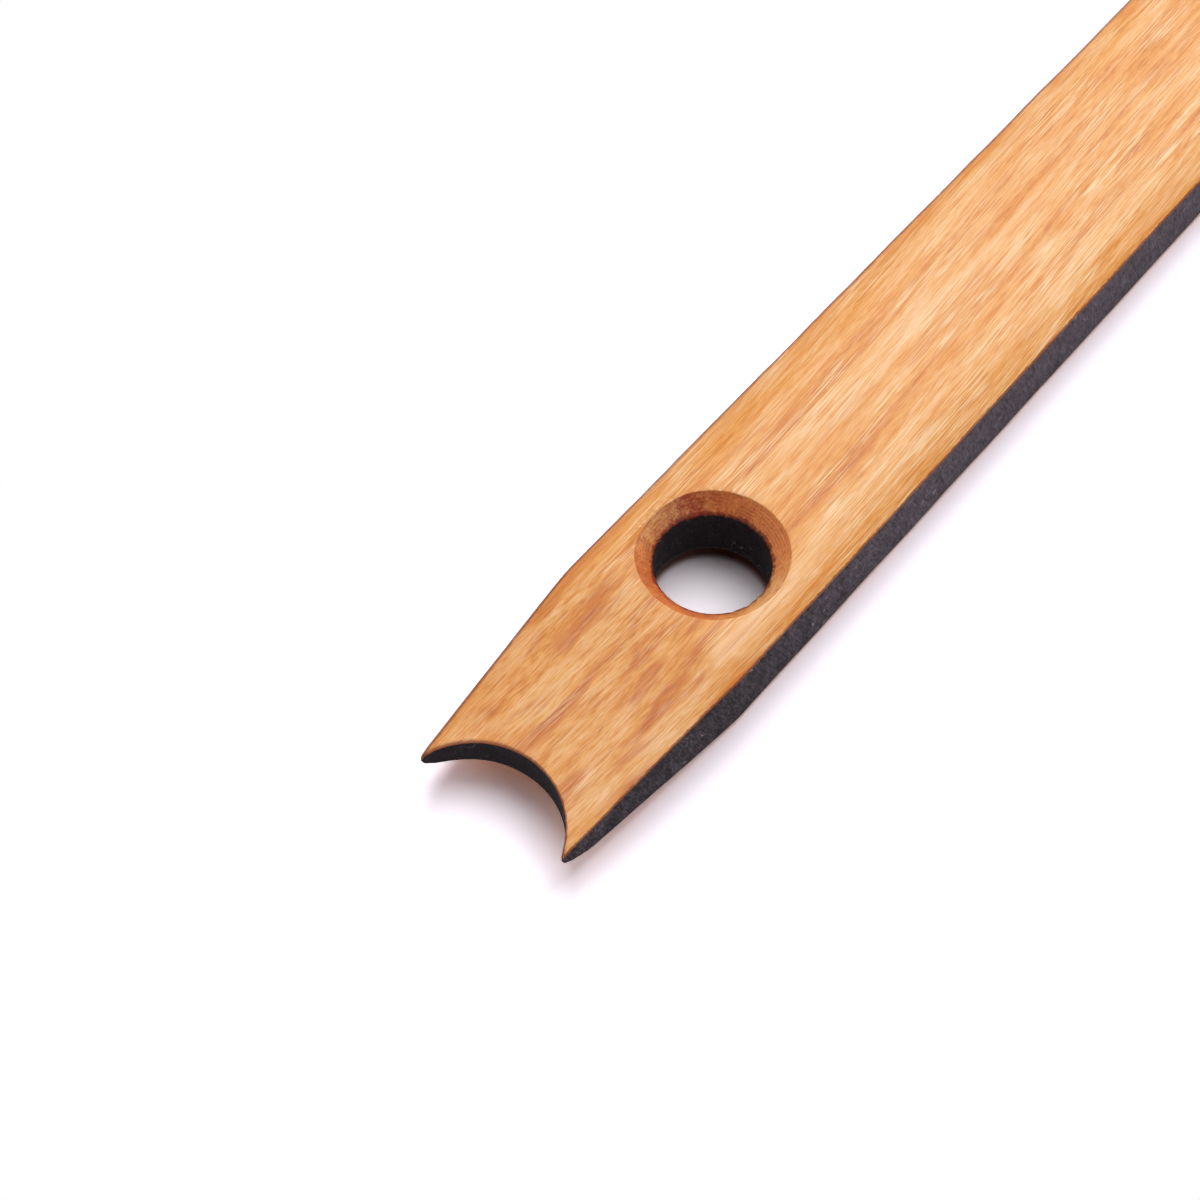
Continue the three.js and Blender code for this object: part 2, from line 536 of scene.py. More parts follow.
    def _blunt_tips(self, bm: bmesh.types.BMesh) -> None:
        """Round the two sharp corners of the plan onto their tip circles.

        Args:
            bm: The shape so far, in millimetres.
        """
        board = self.board
        corner_x, corner_y = self._foot_place(0.0, self.inner_cells + len(self.rim_insets) - 1)
        centre_x, centre_y = board.tip_circle
        reach = math.hypot(centre_x - corner_x, centre_y - corner_y)
        tangent = math.sqrt(reach**2 - board.tip_radius**2)
        corners = [v for v in bm.verts if abs(v.co.x - corner_x) < NEAR]
        made = bmesh.ops.bevel(
            bm,
            geom=corners,
            affect="VERTICES",
            offset=tangent,
            segments=self.tip_steps,
            profile=0.5,
            material=-1,
        )
        for vert in made["verts"]:
            centre = Vector((centre_x, math.copysign(centre_y, vert.co.y), 1))
            vert.co = centre + (vert.co - centre).normalized() * board.tip_radius

    def _ring_rims(self, bm: bmesh.types.BMesh) -> None:
        """Inset the whole plan by narrow rings, in which the rims are later rounded.

        Args:
            bm: The shape so far, in millimetres.
        """
        inner = bm.faces[:]
        for width in self.rim_rings:
            bmesh.ops.inset_region(
                bm, faces=inner, thickness=width, use_boundary=True, use_even_offset=True
            )

    def _around(self, place: Vector) -> float:
        """Angle of a place round the hole, from 0 up to a full turn."""
        angle = math.atan2(place.y, place.x - self.board.hole_x)
        return (angle + NEAR) % math.tau

    def _open_hole(self, bm: bmesh.types.BMesh) -> None:
        """Open a stretch of the grid and run rings from it to the mouth of the hole.

        Args:
            bm: The shape so far, in millimetres.
        """
        board = self.board
        inner_y = board.half_width - self.rim_insets[-1]

        def in_window(place: Vector, room: float) -> bool:
            """Whether a place lies in the stretch that is opened, with some room."""
            return abs(place.x - board.hole_x) < self.window_half + room and abs(place.y) < inner_y + room

        opened = [face for face in bm.faces if in_window(face.calc_center_median(), 0.0)]
        bmesh.ops.delete(bm, geom=opened, context="FACES")
        ring = [
            edge
            for edge in bm.edges
            if edge.is_boundary and all(in_window(v.co, NEAR) for v in edge.verts)
        ]
        start = sorted({v for edge in ring for v in edge.verts}, key=lambda v: self._around(v.co))
        window = [vert.co.copy() for vert in start]
        for share in self.mouth_shares:
            grown = bmesh.ops.extrude_edge_only(bm, edges=ring)["geom"]
            ring = [part for part in grown if isinstance(part, bmesh.types.BMEdge) and part.is_boundary]
            verts = sorted({v for edge in ring for v in edge.verts}, key=lambda v: self._around(v.co))
            for step, vert in enumerate(verts):
                angle = math.tau * step / len(verts)
                radius = board.mouth_radius(angle)
                mouth = Vector((board.hole_x + radius * math.cos(angle), radius * math.sin(angle), 1))
                vert.co = window[step].lerp(mouth, share)

    def _thicken(self, bm: bmesh.types.BMesh) -> None:
        """Give the plan its second face at level -1, and walls with even rows of cells down them.

        Args:
            bm: The shape so far, in millimetres.
        """
        grown = bmesh.ops.extrude_face_region(bm, geom=bm.faces[:])["geom"]
        under = [part for part in grown if isinstance(part, bmesh.types.BMVert)]
        bmesh.ops.translate(bm, vec=(0, 0, -2), verts=under)
        upright = [edge for edge in bm.edges if abs(edge.verts[0].co.z - edge.verts[1].co.z) > 1]
        inner = [edge for edge in upright if self._in_hole(edge.verts[0].co)]
        outer = [edge for edge in upright if not self._in_hole(edge.verts[0].co)]
        hole_cells = 2 * self.cone_cells + self.bore_cells
        for edges, cells in ((inner, hole_cells), (outer, self.wall_cells)):
            bmesh.ops.subdivide_edges(bm, edges=edges, cuts=cells - 1, use_grid_fill=True)

    def _in_hole(self, place: Vector) -> bool:
        """Whether a place lies inside the largest reach of the countersinks."""
        reach = math.hypot(place.x - self.board.hole_x, place.y)
        return reach < self.board.sink_radius + NEAR_CIRCLE

    def _shape(self, bm: bmesh.types.BMesh) -> None:
        """Bring every point from its flat level to its real height.

        Args:
            bm: The shape so far, in millimetres.
        """
        for vert in bm.verts:
            level = vert.co.z
            if abs(level) > 1 - NEAR:
                self._shape_face(vert, Face.UPPER if level > 0 else Face.UNDER)
            elif self._in_hole(vert.co):
                self._shape_hole(vert, (1 - level) / 2)
            else:
                self._shape_wall(vert, (1 - level) / 2)

    def _face_height(self, place: Vector, face: Face) -> float:
        """Height of a face with its rim rounded."""
        drop = self.board.rim_drop(self.board.gap(place.x, place.y))
        return self.board.face_height(place.x, place.y, face) - face.value * drop

    def _shape_face(self, vert: bmesh.types.BMVert, face: Face) -> None:
        """Set a point of a broad face to its height."""
        vert.co.z = self._face_height(vert.co, face)

    def _shape_wall(self, vert: bmesh.types.BMVert, share: float) -> None:
        """Set a point of the outer wall to its height.

        Args:
            vert: The point.
            share: Share of the rows passed, from the upper face down.
        """
        top = self._face_height(vert.co, Face.UPPER)
        bottom = self._face_height(vert.co, Face.UNDER)
        row = round(share * self.wall_cells)
        support_top, support_bottom = top - self.wall_support, bottom + self.wall_support
        vert.co.z = blend(support_top, support_bottom, (row - 1) / (self.wall_cells - 2))

    def _shape_hole(self, vert: bmesh.types.BMVert, share: float) -> None:
        """Set a point of the hole onto a countersink or onto the straight wall.

        Args:
            vert: The point, at the mouth's place in plan.
            share: Share of the rows passed, from the upper face down.
        """
        board = self.board
        centre = Vector((board.hole_x, 0, 0))
        outward = (Vector((vert.co.x, vert.co.y, 0)) - centre).normalized()
        rows = 2 * self.cone_cells + self.bore_cells
        row = round(share * rows)
        upper = row * 2 <= rows
        step = row if upper else rows - row
        rim = board.thickness / 2 - board.sink_depth
        if step <= self.cone_cells:
            sunk = step / self.cone_cells
            face = Face.UPPER if upper else Face.UNDER
            mouth = abs(board.face_height(vert.co.x, vert.co.y, face) - board.middle_z)
            reach = math.hypot(vert.co.x - board.hole_x, vert.co.y)
            radius, height = blend(reach, board.bore_radius, sunk), blend(mouth, rim, sunk)
        else:
            half = self.bore_cells / 2
            radius, height = board.bore_radius, rim * (1 - (step - self.cone_cells) / half)
        vert.co = centre + outward * radius
        vert.co.z = board.middle_z + (height if upper else -height)

    def _ease_sink_edges(self, bm: bmesh.types.BMesh) -> None:
        """Round the mouths of the countersinks and the rims of the straight wall.

        Args:
            bm: The shape so far, in millimetres.
        """
        board = self.board
        rim = board.thickness / 2 - board.sink_depth

        def on_edge(place: Vector) -> bool:
            """Whether a place lies on a mouth or on a rim of the straight wall.

            Args:
                place: The place in millimetres.

            Returns:
                True where an edge there is rounded.
            """
            reach = math.hypot(place.x - board.hole_x, place.y)
            if reach > board.sink_radius + NEAR_CIRCLE:
                return False
            height = abs(place.z - board.middle_z)
            if abs(reach - board.bore_radius) < NEAR_CIRCLE:
                return abs(height - rim) < NEAR_CIRCLE
            angle = math.atan2(place.y, place.x - board.hole_x)
            return abs(reach - board.mouth_radius(angle)) < NEAR_MOUTH

        level = [edge for edge in bm.edges if all(on_edge(v.co) for v in edge.verts)]
        round_edges = [e for e in level if abs(e.verts[0].co.z - e.verts[1].co.z) < board.sink_edge]
        bmesh.ops.bevel(
            bm,
            geom=round_edges,
            affect="EDGES",
            offset=board.sink_edge,
            segments=self.edge_steps,
            profile=0.5,
            material=-1,
        )

    def _measure(self, bm: bmesh.types.BMesh) -> tuple[list[float], list[float]]:
        """Measure the two distances by which the finishes are laid out.

        Args:
            bm: The finished shape in millimetres.

        Returns:
            Per point, the distance from the rim of the nearest charred wall, positive on the wood and
            negative down the wall, and the distance in plan outside the mouth of the hole.
        """
        board = self.board
        far = 2 * board.half_width
        rims, mouths = [], []
        for vert in bm.verts:
            x, y, z = vert.co
            top, bottom = (board.face_height(x, y, face) for face in (Face.UPPER, Face.UNDER))
            rim = max(0.0, board.gap(x, y)) - max(0.0, min(top - z, z - bottom))
            reach = math.hypot(x - board.hole_x, y)
            mouth = far
            if reach < self.window_half + board.bore_radius:
                mouth = reach - board.mouth_radius(math.atan2(y, x - board.hole_x))
            if mouth < board.sink_edge and reach < board.half_width:
                above = abs(z - board.middle_z) - (board.thickness / 2 - board.sink_depth)
                rim = above * SLANT if above > 0 else above
            rims.append(rim)
            mouths.append(mouth)
        return rims, mouths

    @staticmethod
    def _store(mesh: bpy.types.Mesh, name: str, values: list[float]) -> None:
        """Keep one measure per point on the mesh.

        Args:
            mesh: The mesh that gets it.
            name: Name by which a material reads it.
            values: One value per point.
        """
        attribute = mesh.attributes.new(name, "FLOAT", "POINT")
        attribute.data.foreach_set("value", values)

    def dress(self, stick: bpy.types.Object, finish: "StickFinish") -> None:
        """Give the stick its finish and tie it to the frame.

        Args:
            stick: The object that build returned.
            finish: The finish of the whole board.
        """
        mesh = stick.data
        for material in finish.materials():
            mesh.materials.append(material)
        wall_index = len(mesh.materials) - 1
        rims = [point.value for point in mesh.attributes[RIM].data]
        for face in mesh.polygons:
            if all(rims[corner] < -self.bare_wall for corner in face.vertices):
                face.material_index = wall_index
        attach(stick, BODY)
        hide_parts(NODE)


@dataclass(frozen=True)
class Band:
    """A stretch of a value over which a mask grows from nothing to its full share.

    Attributes:
        low: Where there is nothing of it.
        high: Where it is full, which may be less than low.
        share: How much of it there is where it is full.
    """

    low: float
    high: float
    share: float = 1.0


@dataclass(frozen=True)
class Noise:
    """One layer of plain soft noise.

    Attributes:
        fineness: Its fineness per millimetre, the same all round or along X, Y and Z.
        detail: Finer layers in it.
        rough: How strong they are.
    """

    fineness: Union[float, Triple]
    detail: float = 2.0
    rough: float = 0.5


class Pen:
    """Adds nodes to one node tree and joins them by short calls."""

    def __init__(self, tree: bpy.types.NodeTree) -> None:
        """Keep the tree that the nodes go into."""
        self.tree = tree

    def node(self, kind: str, feeds: Optional[dict[Any, Input]] = None, **settings: Any) -> bpy.types.Node:
        """Add one node.

        Args:
            kind: Blender's name of the node type.
            feeds: What goes into its inputs, by name or number.
            settings: The node's own options.

        Returns:
            The new node.
        """
        made = self.tree.nodes.new(kind)
        for name, value in settings.items():
            setattr(made, name, value)
        for name, value in (feeds or {}).items():
            if isinstance(value, bpy.types.NodeSocket):
                self.tree.links.new(value, made.inputs[name])
            else:
                made.inputs[name].default_value = value
        return made

    def group(self, tree: bpy.types.NodeTree, feeds: dict[str, Input]) -> Any:
        """Place a node group, and give its outputs."""
        return self.node("ShaderNodeGroup", feeds, node_tree=tree).outputs

    def give(self, given: Any, results: dict[str, Input]) -> bpy.types.NodeTree:
        """Join the results of a group to its outputs.

        Args:
            given: The group's output sockets.
            results: What goes to each of them, by name.

        Returns:
            The finished group.
        """
        for name, value in results.items():
            self.tree.links.new(value, given[name])
        return self.tree

    def math(self, operation: str, first: Input, second: Input = 0.0, clamp: bool = False) -> Input:
        """Combine two numbers.

        Args:
            operation: Name of the operation.
            first: First number.
            second: Second number.
            clamp: Whether the result stays between 0 and 1.

        Returns:
            The result's socket.
        """
        made = self.node("ShaderNodeMath", {0: first, 1: second}, operation=operation, use_clamp=clamp)
        return made.outputs[0]

    def plus(self, first: Input, *others: Input) -> Input:
        """Add numbers.

        Args:
            first: First number.
            others: What is added to it.

        Returns:
            The sum's socket.
        """
        for other in others:
            first = self.math("ADD", first, other)
        return first

    def times(self, first: Input, *others: Input) -> Input:
        """Multiply numbers.

        Args:
            first: First number.
            others: What it is multiplied by.

        Returns:
            The product's socket.
        """
        for other in others:
            first = self.math("MULTIPLY", first, other)
        return first

    def between(self, span: Span, share: Input) -> Input:
        """Number that lies a share of the way along a span."""
        return self.plus(span[0], self.times(share, span[1] - span[0]))

    def swing(self, value: Input) -> Input:
        """How far noise is from its middle, which is at one half."""
        return self.math("SUBTRACT", value, 0.5)

    def vector(self, operation: str, first: Input, second: Input = (0.0, 0.0, 0.0)) -> Input:
        """Combine two vectors.

        Args:
            operation: Name of the operation.
            first: First vector.
            second: Second vector.

        Returns:
            The socket of the vector, or of the number where the operation gives one.
        """
        made = self.node("ShaderNodeVectorMath", {0: first, 1: second}, operation=operation)
        return made.outputs["Value" if operation in ("DOT_PRODUCT", "LENGTH") else "Vector"]

    def split(self, place: Input) -> Any:
        """Outputs X, Y and Z of a place."""
        return self.node("ShaderNodeSeparateXYZ", {0: place}).outputs

    def rise(self, value: Input, low: Input, high: Input) -> Input:
        """Turn a value into a soft mask.

        Args:
            value: The value.
            low: Where the mask is 0.
            high: Where the mask is 1.

        Returns:
            The mask's socket.
        """
        feeds = {"Value": value, "From Min": low, "From Max": high}
        return self.node("ShaderNodeMapRange", feeds, interpolation_type="SMOOTHSTEP").outputs[0]

    def band(self, value: Input, band: Band) -> Input:
        """Turn a value into a soft mask with the band's ends and share."""
        mask = self.rise(value, band.low, band.high)
        return mask if band.share == 1.0 else self.times(mask, band.share)

    def mix(self, share: Input, first: Input, second: Input) -> Input:
        """Mix two colours.

        Args:
            share: Share of the second colour.
            first: First colour.
            second: Second colour.

        Returns:
            The mixed colour's socket.
        """
        return self.node("ShaderNodeMix", {0: share, 6: first, 7: second}, data_type="RGBA").outputs[2]

    def mix_values(self, share: Input, first: Input, second: Input) -> Input:
        """Mix two numbers, by the share of the second."""
        return self.node("ShaderNodeMix", {0: share, 2: first, 3: second}).outputs[0]

    def ramp(self, value: Input, stops: Stops) -> Input:
        """Turn a value into a colour.

        Args:
            value: The value.
            stops: Places from 0 to 1, each with its colour, in order.

        Returns:
            The colour's socket.
        """
        made = self.node("ShaderNodeValToRGB", {0: value})
        elements = made.color_ramp.elements
        elements[0].position, elements[0].color = stops[0]
        elements[-1].position, elements[-1].color = stops[-1]
        for place, colour in stops[1:-1]:
            elements.new(place).color = colour
        return made.outputs[0]

    def noise(self, place: Input, layer: Noise) -> Input:
        """Read soft noise, which has its middle at one half.

        Args:
            place: Where it is read.
            layer: Its fineness and detail.

        Returns:
            The socket of the noise's value.
        """
        scale = layer.fineness
        if isinstance(scale, tuple):
            place, scale = self.vector("MULTIPLY", place, scale), 1.0
        feeds = {"Vector": place, "Scale": scale, "Detail": layer.detail, "Roughness": layer.rough}
        return self.node("ShaderNodeTexNoise", feeds).outputs[0]


def paint(red: int, green: int, blue: int) -> Colour:
    """Turn a colour as it looks on a screen into the light that it stands for.

    Args:
        red: Red from 0 to 255.
        green: Green from 0 to 255.
        blue: Blue from 0 to 255.

    Returns:
        The colour in linear light, with full cover.
    """
    levels = [level / 255 for level in (red, green, blue)]
    light = [v / 12.92 if v <= 0.04045 else ((v + 0.055) / 1.055) ** 2.4 for v in levels]
    return light[0], light[1], light[2], 1.0


def make_group(name: str, inputs: dict[str, str], outputs: dict[str, str]) -> tuple[Pen, Any, Any]:
    """Start a shader node group.

    Args:
        name: The group's name.
        inputs: Kinds of its inputs by name.
        outputs: Kinds of its outputs by name.

    Returns:
        A pen for the group, its input sockets and its output sockets.
    """
    tree = bpy.data.node_groups.new(name, "ShaderNodeTree")
    for label, kind in inputs.items():
        tree.interface.new_socket(label, in_out="INPUT", socket_type="NodeSocket" + kind)
    for label, kind in outputs.items():
        tree.interface.new_socket(label, in_out="OUTPUT", socket_type="NodeSocket" + kind)
    entry = tree.nodes.new("NodeGroupInput")
    leave = tree.nodes.new("NodeGroupOutput")
    return Pen(tree), entry.outputs, leave.inputs


def clean_pen(owner: Union[bpy.types.Material, bpy.types.World]) -> Pen:
    """Empty the nodes of a material or a world, and give a pen for them.

    Args:
        owner: The material or the world.

    Returns:
        A pen for its node tree.
    """
    owner.use_nodes = True
    owner.node_tree.nodes.clear()
    return Pen(owner.node_tree)


@dataclass(frozen=True)
class Tone:
    """One layer of noise that runs with the grain.

    Attributes:
        length: Reach of one patch along the grain, in millimetres.
        width: Its reach across the growth layers.
        depth: Its reach along them.
        shift: Where in the noise it is read, so that no two layers are alike.
        weight: How strongly it counts.
        detail: Finer layers in it.
    """

    length: float
    width: float
    depth: float
    shift: float
    weight: float = 1.0
    detail: float = 2.0


@dataclass(frozen=True)
class BoardGrain:
    """The dressed wood: soft golden bands, brown streaks, pale silky fibres with a painted highlight, and
    fine pores.

    A span whose name ends in by_part is a value in the body and in the foot, where the grain is bolder.

    Attributes:
        tones: Its layers of light and dark, from broad to fine.
        contrast: How strongly they all count.
        tone_by_part: The middle tone in the body and in the foot.
        mottle: The clouding, which shows most where the foot cuts through the growth layers.
        mottle_by_part: How strongly it shows in each.
        colours: The wood's colours from its darkest to its palest tone, by place from 0 to 1.
        streak: The wavy brown streaks.
        streak_by_part: How strongly they show in each.
        streak_sides: Where in that layer their soft sides lie.
        streak_cores: Where in that layer their cores lie.
        hatch: Where in the layer of the fibres the cores are broken up.
        hatched: How strongly the cores show between the fibres and on them.
        tint: Colour of the soft sides of the streaks.
        line: Colour of the cores of the streaks.
        pores: The fine grooves and pores.
        pore_band: Where in that layer they lie.
        pore: Their colour.
        flecks: The pale flecks, which also carry a painted highlight.
        fleck_band: Where in that layer they lie.
        fleck_flocks: The patches in which they gather.
        flock_band: Where in that layer those patches lie.
        silk_and_highlight: Their colour, pale wood with a painted highlight in it.
        silk_and_highlight_by_part: How strongly they and their painted highlight show in each.
        edge_and_shade_patches: The patches in which the wood deepens beside its rims, which also paint
            shade where the shoulders miss the sheen.
        edge_and_shade_patch_band: Where in that layer they lie.
        edge_and_shade_band: Distance from the rim over which they fade.
        edge_and_shade_side: Places across the board between which they come in.
        edge: Their colour, the wood's own deeper tone and painted shade in one.
        bow: How far the grain bows sideways, in millimetres.
        bow_length: Length of board in which it bows to both sides.
        bow_middle: Place along the board where it lies straight.
        foot_span: Places along the board where the foot's bolder grain starts and is full.
        fibre_layer: Place of the layer of the fibres among the tones, which also gives the relief.
        fibre_sways: Lengths over which the fibres waver, each with how far, in millimetres.
        streak_sways: The same for the streaks, which waver more.
        sway_pace: How much faster they waver across the board and through it than along it.
        lean: Lean of the growth layers in the cross section, in degrees.
        gloss: Roughness of the oiled surface between the fibres and on them.
    """

    tones: tuple[Tone, ...] = (
        Tone(60, 5.0, 4.0, 0.0, 0.8, 1.0),
        Tone(38, 2.1, 1.5, 9.0, 1.0),
        Tone(15, 0.75, 0.8, 18.0, 0.5),
        Tone(7.0, 0.24, 0.4, 27.0, 0.7),
        Tone(1.6, 0.12, 0.2, 36.0, 0.8, 1.0),
    )
    contrast: float = 1.1
    tone_by_part: Span = (0.6, 0.54)
    mottle: Tone = Tone(3.4, 1.6, 1.2, 50.0, 0.6)
    mottle_by_part: Span = (0.3, 1.3)
    colours: Stops = (
        (0.0, paint(194, 98, 26)),
        (0.25, paint(214, 130, 46)),
        (0.45, paint(229, 154, 68)),
        (0.6, paint(237, 168, 90)),
        (0.8, paint(244, 184, 120)),
        (1.0, paint(250, 199, 145)),
    )
    streak: Tone = Tone(22, 1.9, 1.8, 71.0)
    streak_by_part: Span = (0.22, 1.0)
    streak_sides: Band = Band(0.49, 0.66, 0.55)
    streak_cores: Band = Band(0.56, 0.68, 0.65)
    hatch: Band = Band(0.62, 0.38)
    hatched: Span = (0.35, 1.35)
    tint: Colour = paint(210, 118, 42)
    line: Colour = paint(188, 90, 24)
    pores: Tone = Tone(5.0, 0.15, 0.4, 110.0)
    pore_band: Band = Band(0.52, 0.7, 0.8)
    pore: Colour = paint(220, 128, 40)
    flecks: Tone = Tone(5.5, 0.14, 0.5, 95.0)
    fleck_band: Band = Band(0.47, 0.66)
    fleck_flocks: Tone = Tone(12, 2.4, 2.5, 83.0)
    flock_band: Band = Band(0.34, 0.6)
    silk_and_highlight: Colour = paint(255, 224, 178)
    silk_and_highlight_by_part: Span = (0.8, 0.4)
    edge_and_shade_patches: Tone = Tone(7, 3.0, 3.0, 120.0)
    edge_and_shade_patch_band: Band = Band(0.25, 0.75)
    edge_and_shade_band: Band = Band(3.6, 0.0, 0.75)
    edge_and_shade_side: Band = Band(-16.0, 6.0)
    edge: Colour = paint(222, 138, 56)
    bow: float = 1.7
    bow_length: float = 200.0
    bow_middle: float = -62.0
    foot_span: Band = Band(-66.0, -80.0)
    fibre_layer: int = 3
    fibre_sways: tuple[Span, ...] = ((30.0, 0.7),)
    streak_sways: tuple[Span, ...] = ((12.0, 2.4), (3.2, 0.3))
    sway_pace: Triple = (1.0, 2.2, 2.0)
    lean: float = 22.0
    gloss: Span = (0.4, 0.52)

    def group(self) -> bpy.types.NodeTree:
        """Build the node group of the grain.

        Returns:
            A group that takes a place in millimetres and the distance from the nearest rim, and gives
            colour, roughness and height.
        """
        pen, taken, given = make_group(
            "Board grain",
            {"Place": "Vector", "Rim": "Float"},
            {"Color": "Color", "Roughness": "Float", "Height": "Float"},
        )
        split = pen.split(taken["Place"])
        in_foot = pen.band(split["X"], self.foot_span)
        grained = self._follow_grain(pen, taken["Place"], self.fibre_sways)
        wavy = self._follow_grain(pen, taken["Place"], self.streak_sways)
        layers = [self._read(pen, grained, tone) for tone in self.tones]
        fibres = layers[self.fibre_layer]
        colour = self._lay_bands(pen, grained, layers, in_foot)
        colour = self._add_streaks(pen, colour, wavy, fibres, in_foot)
        colour = self._add_pores_and_flecks(pen, colour, grained, in_foot)
        # Painted shade as well as the wood's own tone: the rims are deepened where the shoulders miss the
        # sheen.
        colour = self._deepen_and_shade_edges(pen, colour, grained, taken["Rim"], split["Y"])
        rough = pen.between(self.gloss, fibres)
        return pen.give(given, {"Color": colour, "Roughness": rough, "Height": fibres})

    def _lay_bands(self, pen: Pen, grained: Input, layers: list[Input], in_foot: Input) -> Input:
        """Colour the wood by its layers of tone and its mottle.

        Args:
            pen: Pen of the group.
            grained: Place along and across the grain.
            layers: The values of the layers.
            in_foot: Mask of the foot.

        Returns:
            The colour's socket.
        """
        tone = pen.between(self.tone_by_part, in_foot)
        for layer, value in zip(self.tones, layers):
            tone = pen.plus(tone, pen.times(pen.swing(value), self.contrast * layer.weight))
        clouds = pen.swing(self._read(pen, grained, self.mottle))
        shown = pen.times(pen.between(self.mottle_by_part, in_foot), self.mottle.weight)
        return pen.ramp(pen.plus(tone, pen.times(clouds, shown)), self.colours)

    def _add_streaks(self, pen: Pen, colour: Input, wavy: Input, fibres: Input, in_foot: Input) -> Input:
        """Lay the brown streaks over a colour.

        Args:
            pen: Pen of the group.
            colour: The colour below.
            wavy: Place along and across the streaks' wavy course.
            fibres: The value of the fibres.
            in_foot: Mask of the foot.

        Returns:
            The colour's socket.
        """
        streak = self._read(pen, wavy, self.streak)
        shown = pen.between(self.streak_by_part, in_foot)
        sides = pen.times(pen.band(streak, self.streak_sides), shown)
        colour = pen.mix(sides, colour, self.tint)
        hatched = pen.between(self.hatched, pen.band(fibres, self.hatch))
        cores = pen.times(pen.band(streak, self.streak_cores), hatched, shown)
        return pen.mix(cores, colour, self.line)

    def _add_pores_and_flecks(self, pen: Pen, colour: Input, grained: Input, in_foot: Input) -> Input:
        """Lay the fine pores, and the pale flecks with their painted highlight, over a colour.

        Args:
            pen: Pen of the group.
            colour: The colour below.
            grained: Place along and across the grain.
            in_foot: Mask of the foot.

        Returns:
            The colour's socket.
        """
        pores = pen.band(self._read(pen, grained, self.pores), self.pore_band)
        colour = pen.mix(pores, colour, self.pore)
        flocks = pen.band(self._read(pen, grained, self.fleck_flocks), self.flock_band)
        flecks = pen.band(self._read(pen, grained, self.flecks), self.fleck_band)
        # Painted highlight: pale flecks, whiter than the wood, stand for the sheen on the fibres.
        shine = pen.times(flecks, flocks, pen.between(self.silk_and_highlight_by_part, in_foot))
        return pen.mix(shine, colour, self.silk_and_highlight)

    def _deepen_and_shade_edges(self, pen: Pen, colour: Input, grained: Input, rim: Input, across: Input) -> Input:
        """Deepen a colour in patches beside the rims: partly the wood's deeper tone there, partly painted
        shade where the shoulders miss the sheen.

        Args:
            pen: Pen of the group.
            colour: The colour below.
            grained: Place along and across the grain.
            rim: Distance from the nearest rim.
            across: Place across the board.

        Returns:
            The colour's socket.
        """
        patches = pen.band(self._read(pen, grained, self.edge_and_shade_patches), self.edge_and_shade_patch_band)
        near = pen.times(pen.band(rim, self.edge_and_shade_band), patches, pen.band(across, self.edge_and_shade_side))
        return pen.mix(near, colour, self.edge)

    @staticmethod
    def _read(pen: Pen, grained: Input, tone: Tone) -> Input:
        """Read the noise of one layer.

        Args:
            pen: Pen of the group.
            grained: Place along and across the grain.
            tone: The layer.

        Returns:
            The socket of its value, which has its middle at one half.
        """
        moved = pen.node(
            "ShaderNodeMapping",
            {
                "Vector": grained,
                "Location": (tone.shift, 0.7 * tone.shift, 0.3 * tone.shift),
                "Scale": (1 / tone.length, 1 / tone.width, 1 / tone.depth),
            },
        )
        return pen.noise(moved.outputs[0], Noise(1.0, tone.detail))

    def _follow_grain(self, pen: Pen, place: Input, sways: tuple[Span, ...]) -> Input:
        """Straighten the board's bowed and wavering grain.

        Args:
            pen: Pen of the group.
            place: A place in millimetres.
            sways: Lengths over which it wavers, each with how far.

        Returns:
            The place along the grain, across the growth layers and along them.
        """
        off = pen.math("SUBTRACT", pen.split(place)["X"], self.bow_middle)
        turn = pen.times(off, math.tau / self.bow_length)
        aside = pen.times(pen.math("COSINE", turn), self.bow)
        for length, sway in sways:
            fineness = tuple(pace / length for pace in self.sway_pace)
            wave = pen.swing(pen.noise(place, Noise(fineness, 1.0)))
            aside = pen.plus(aside, pen.times(wave, sway))
        shift = pen.node("ShaderNodeCombineXYZ", {"Y": aside}).outputs[0]
        turned = pen.node(
            "ShaderNodeMapping",
            {"Vector": pen.vector("ADD", place, shift), "Rotation": (math.radians(-self.lean), 0.0, 0.0)},
        )
        return turned.outputs[0]


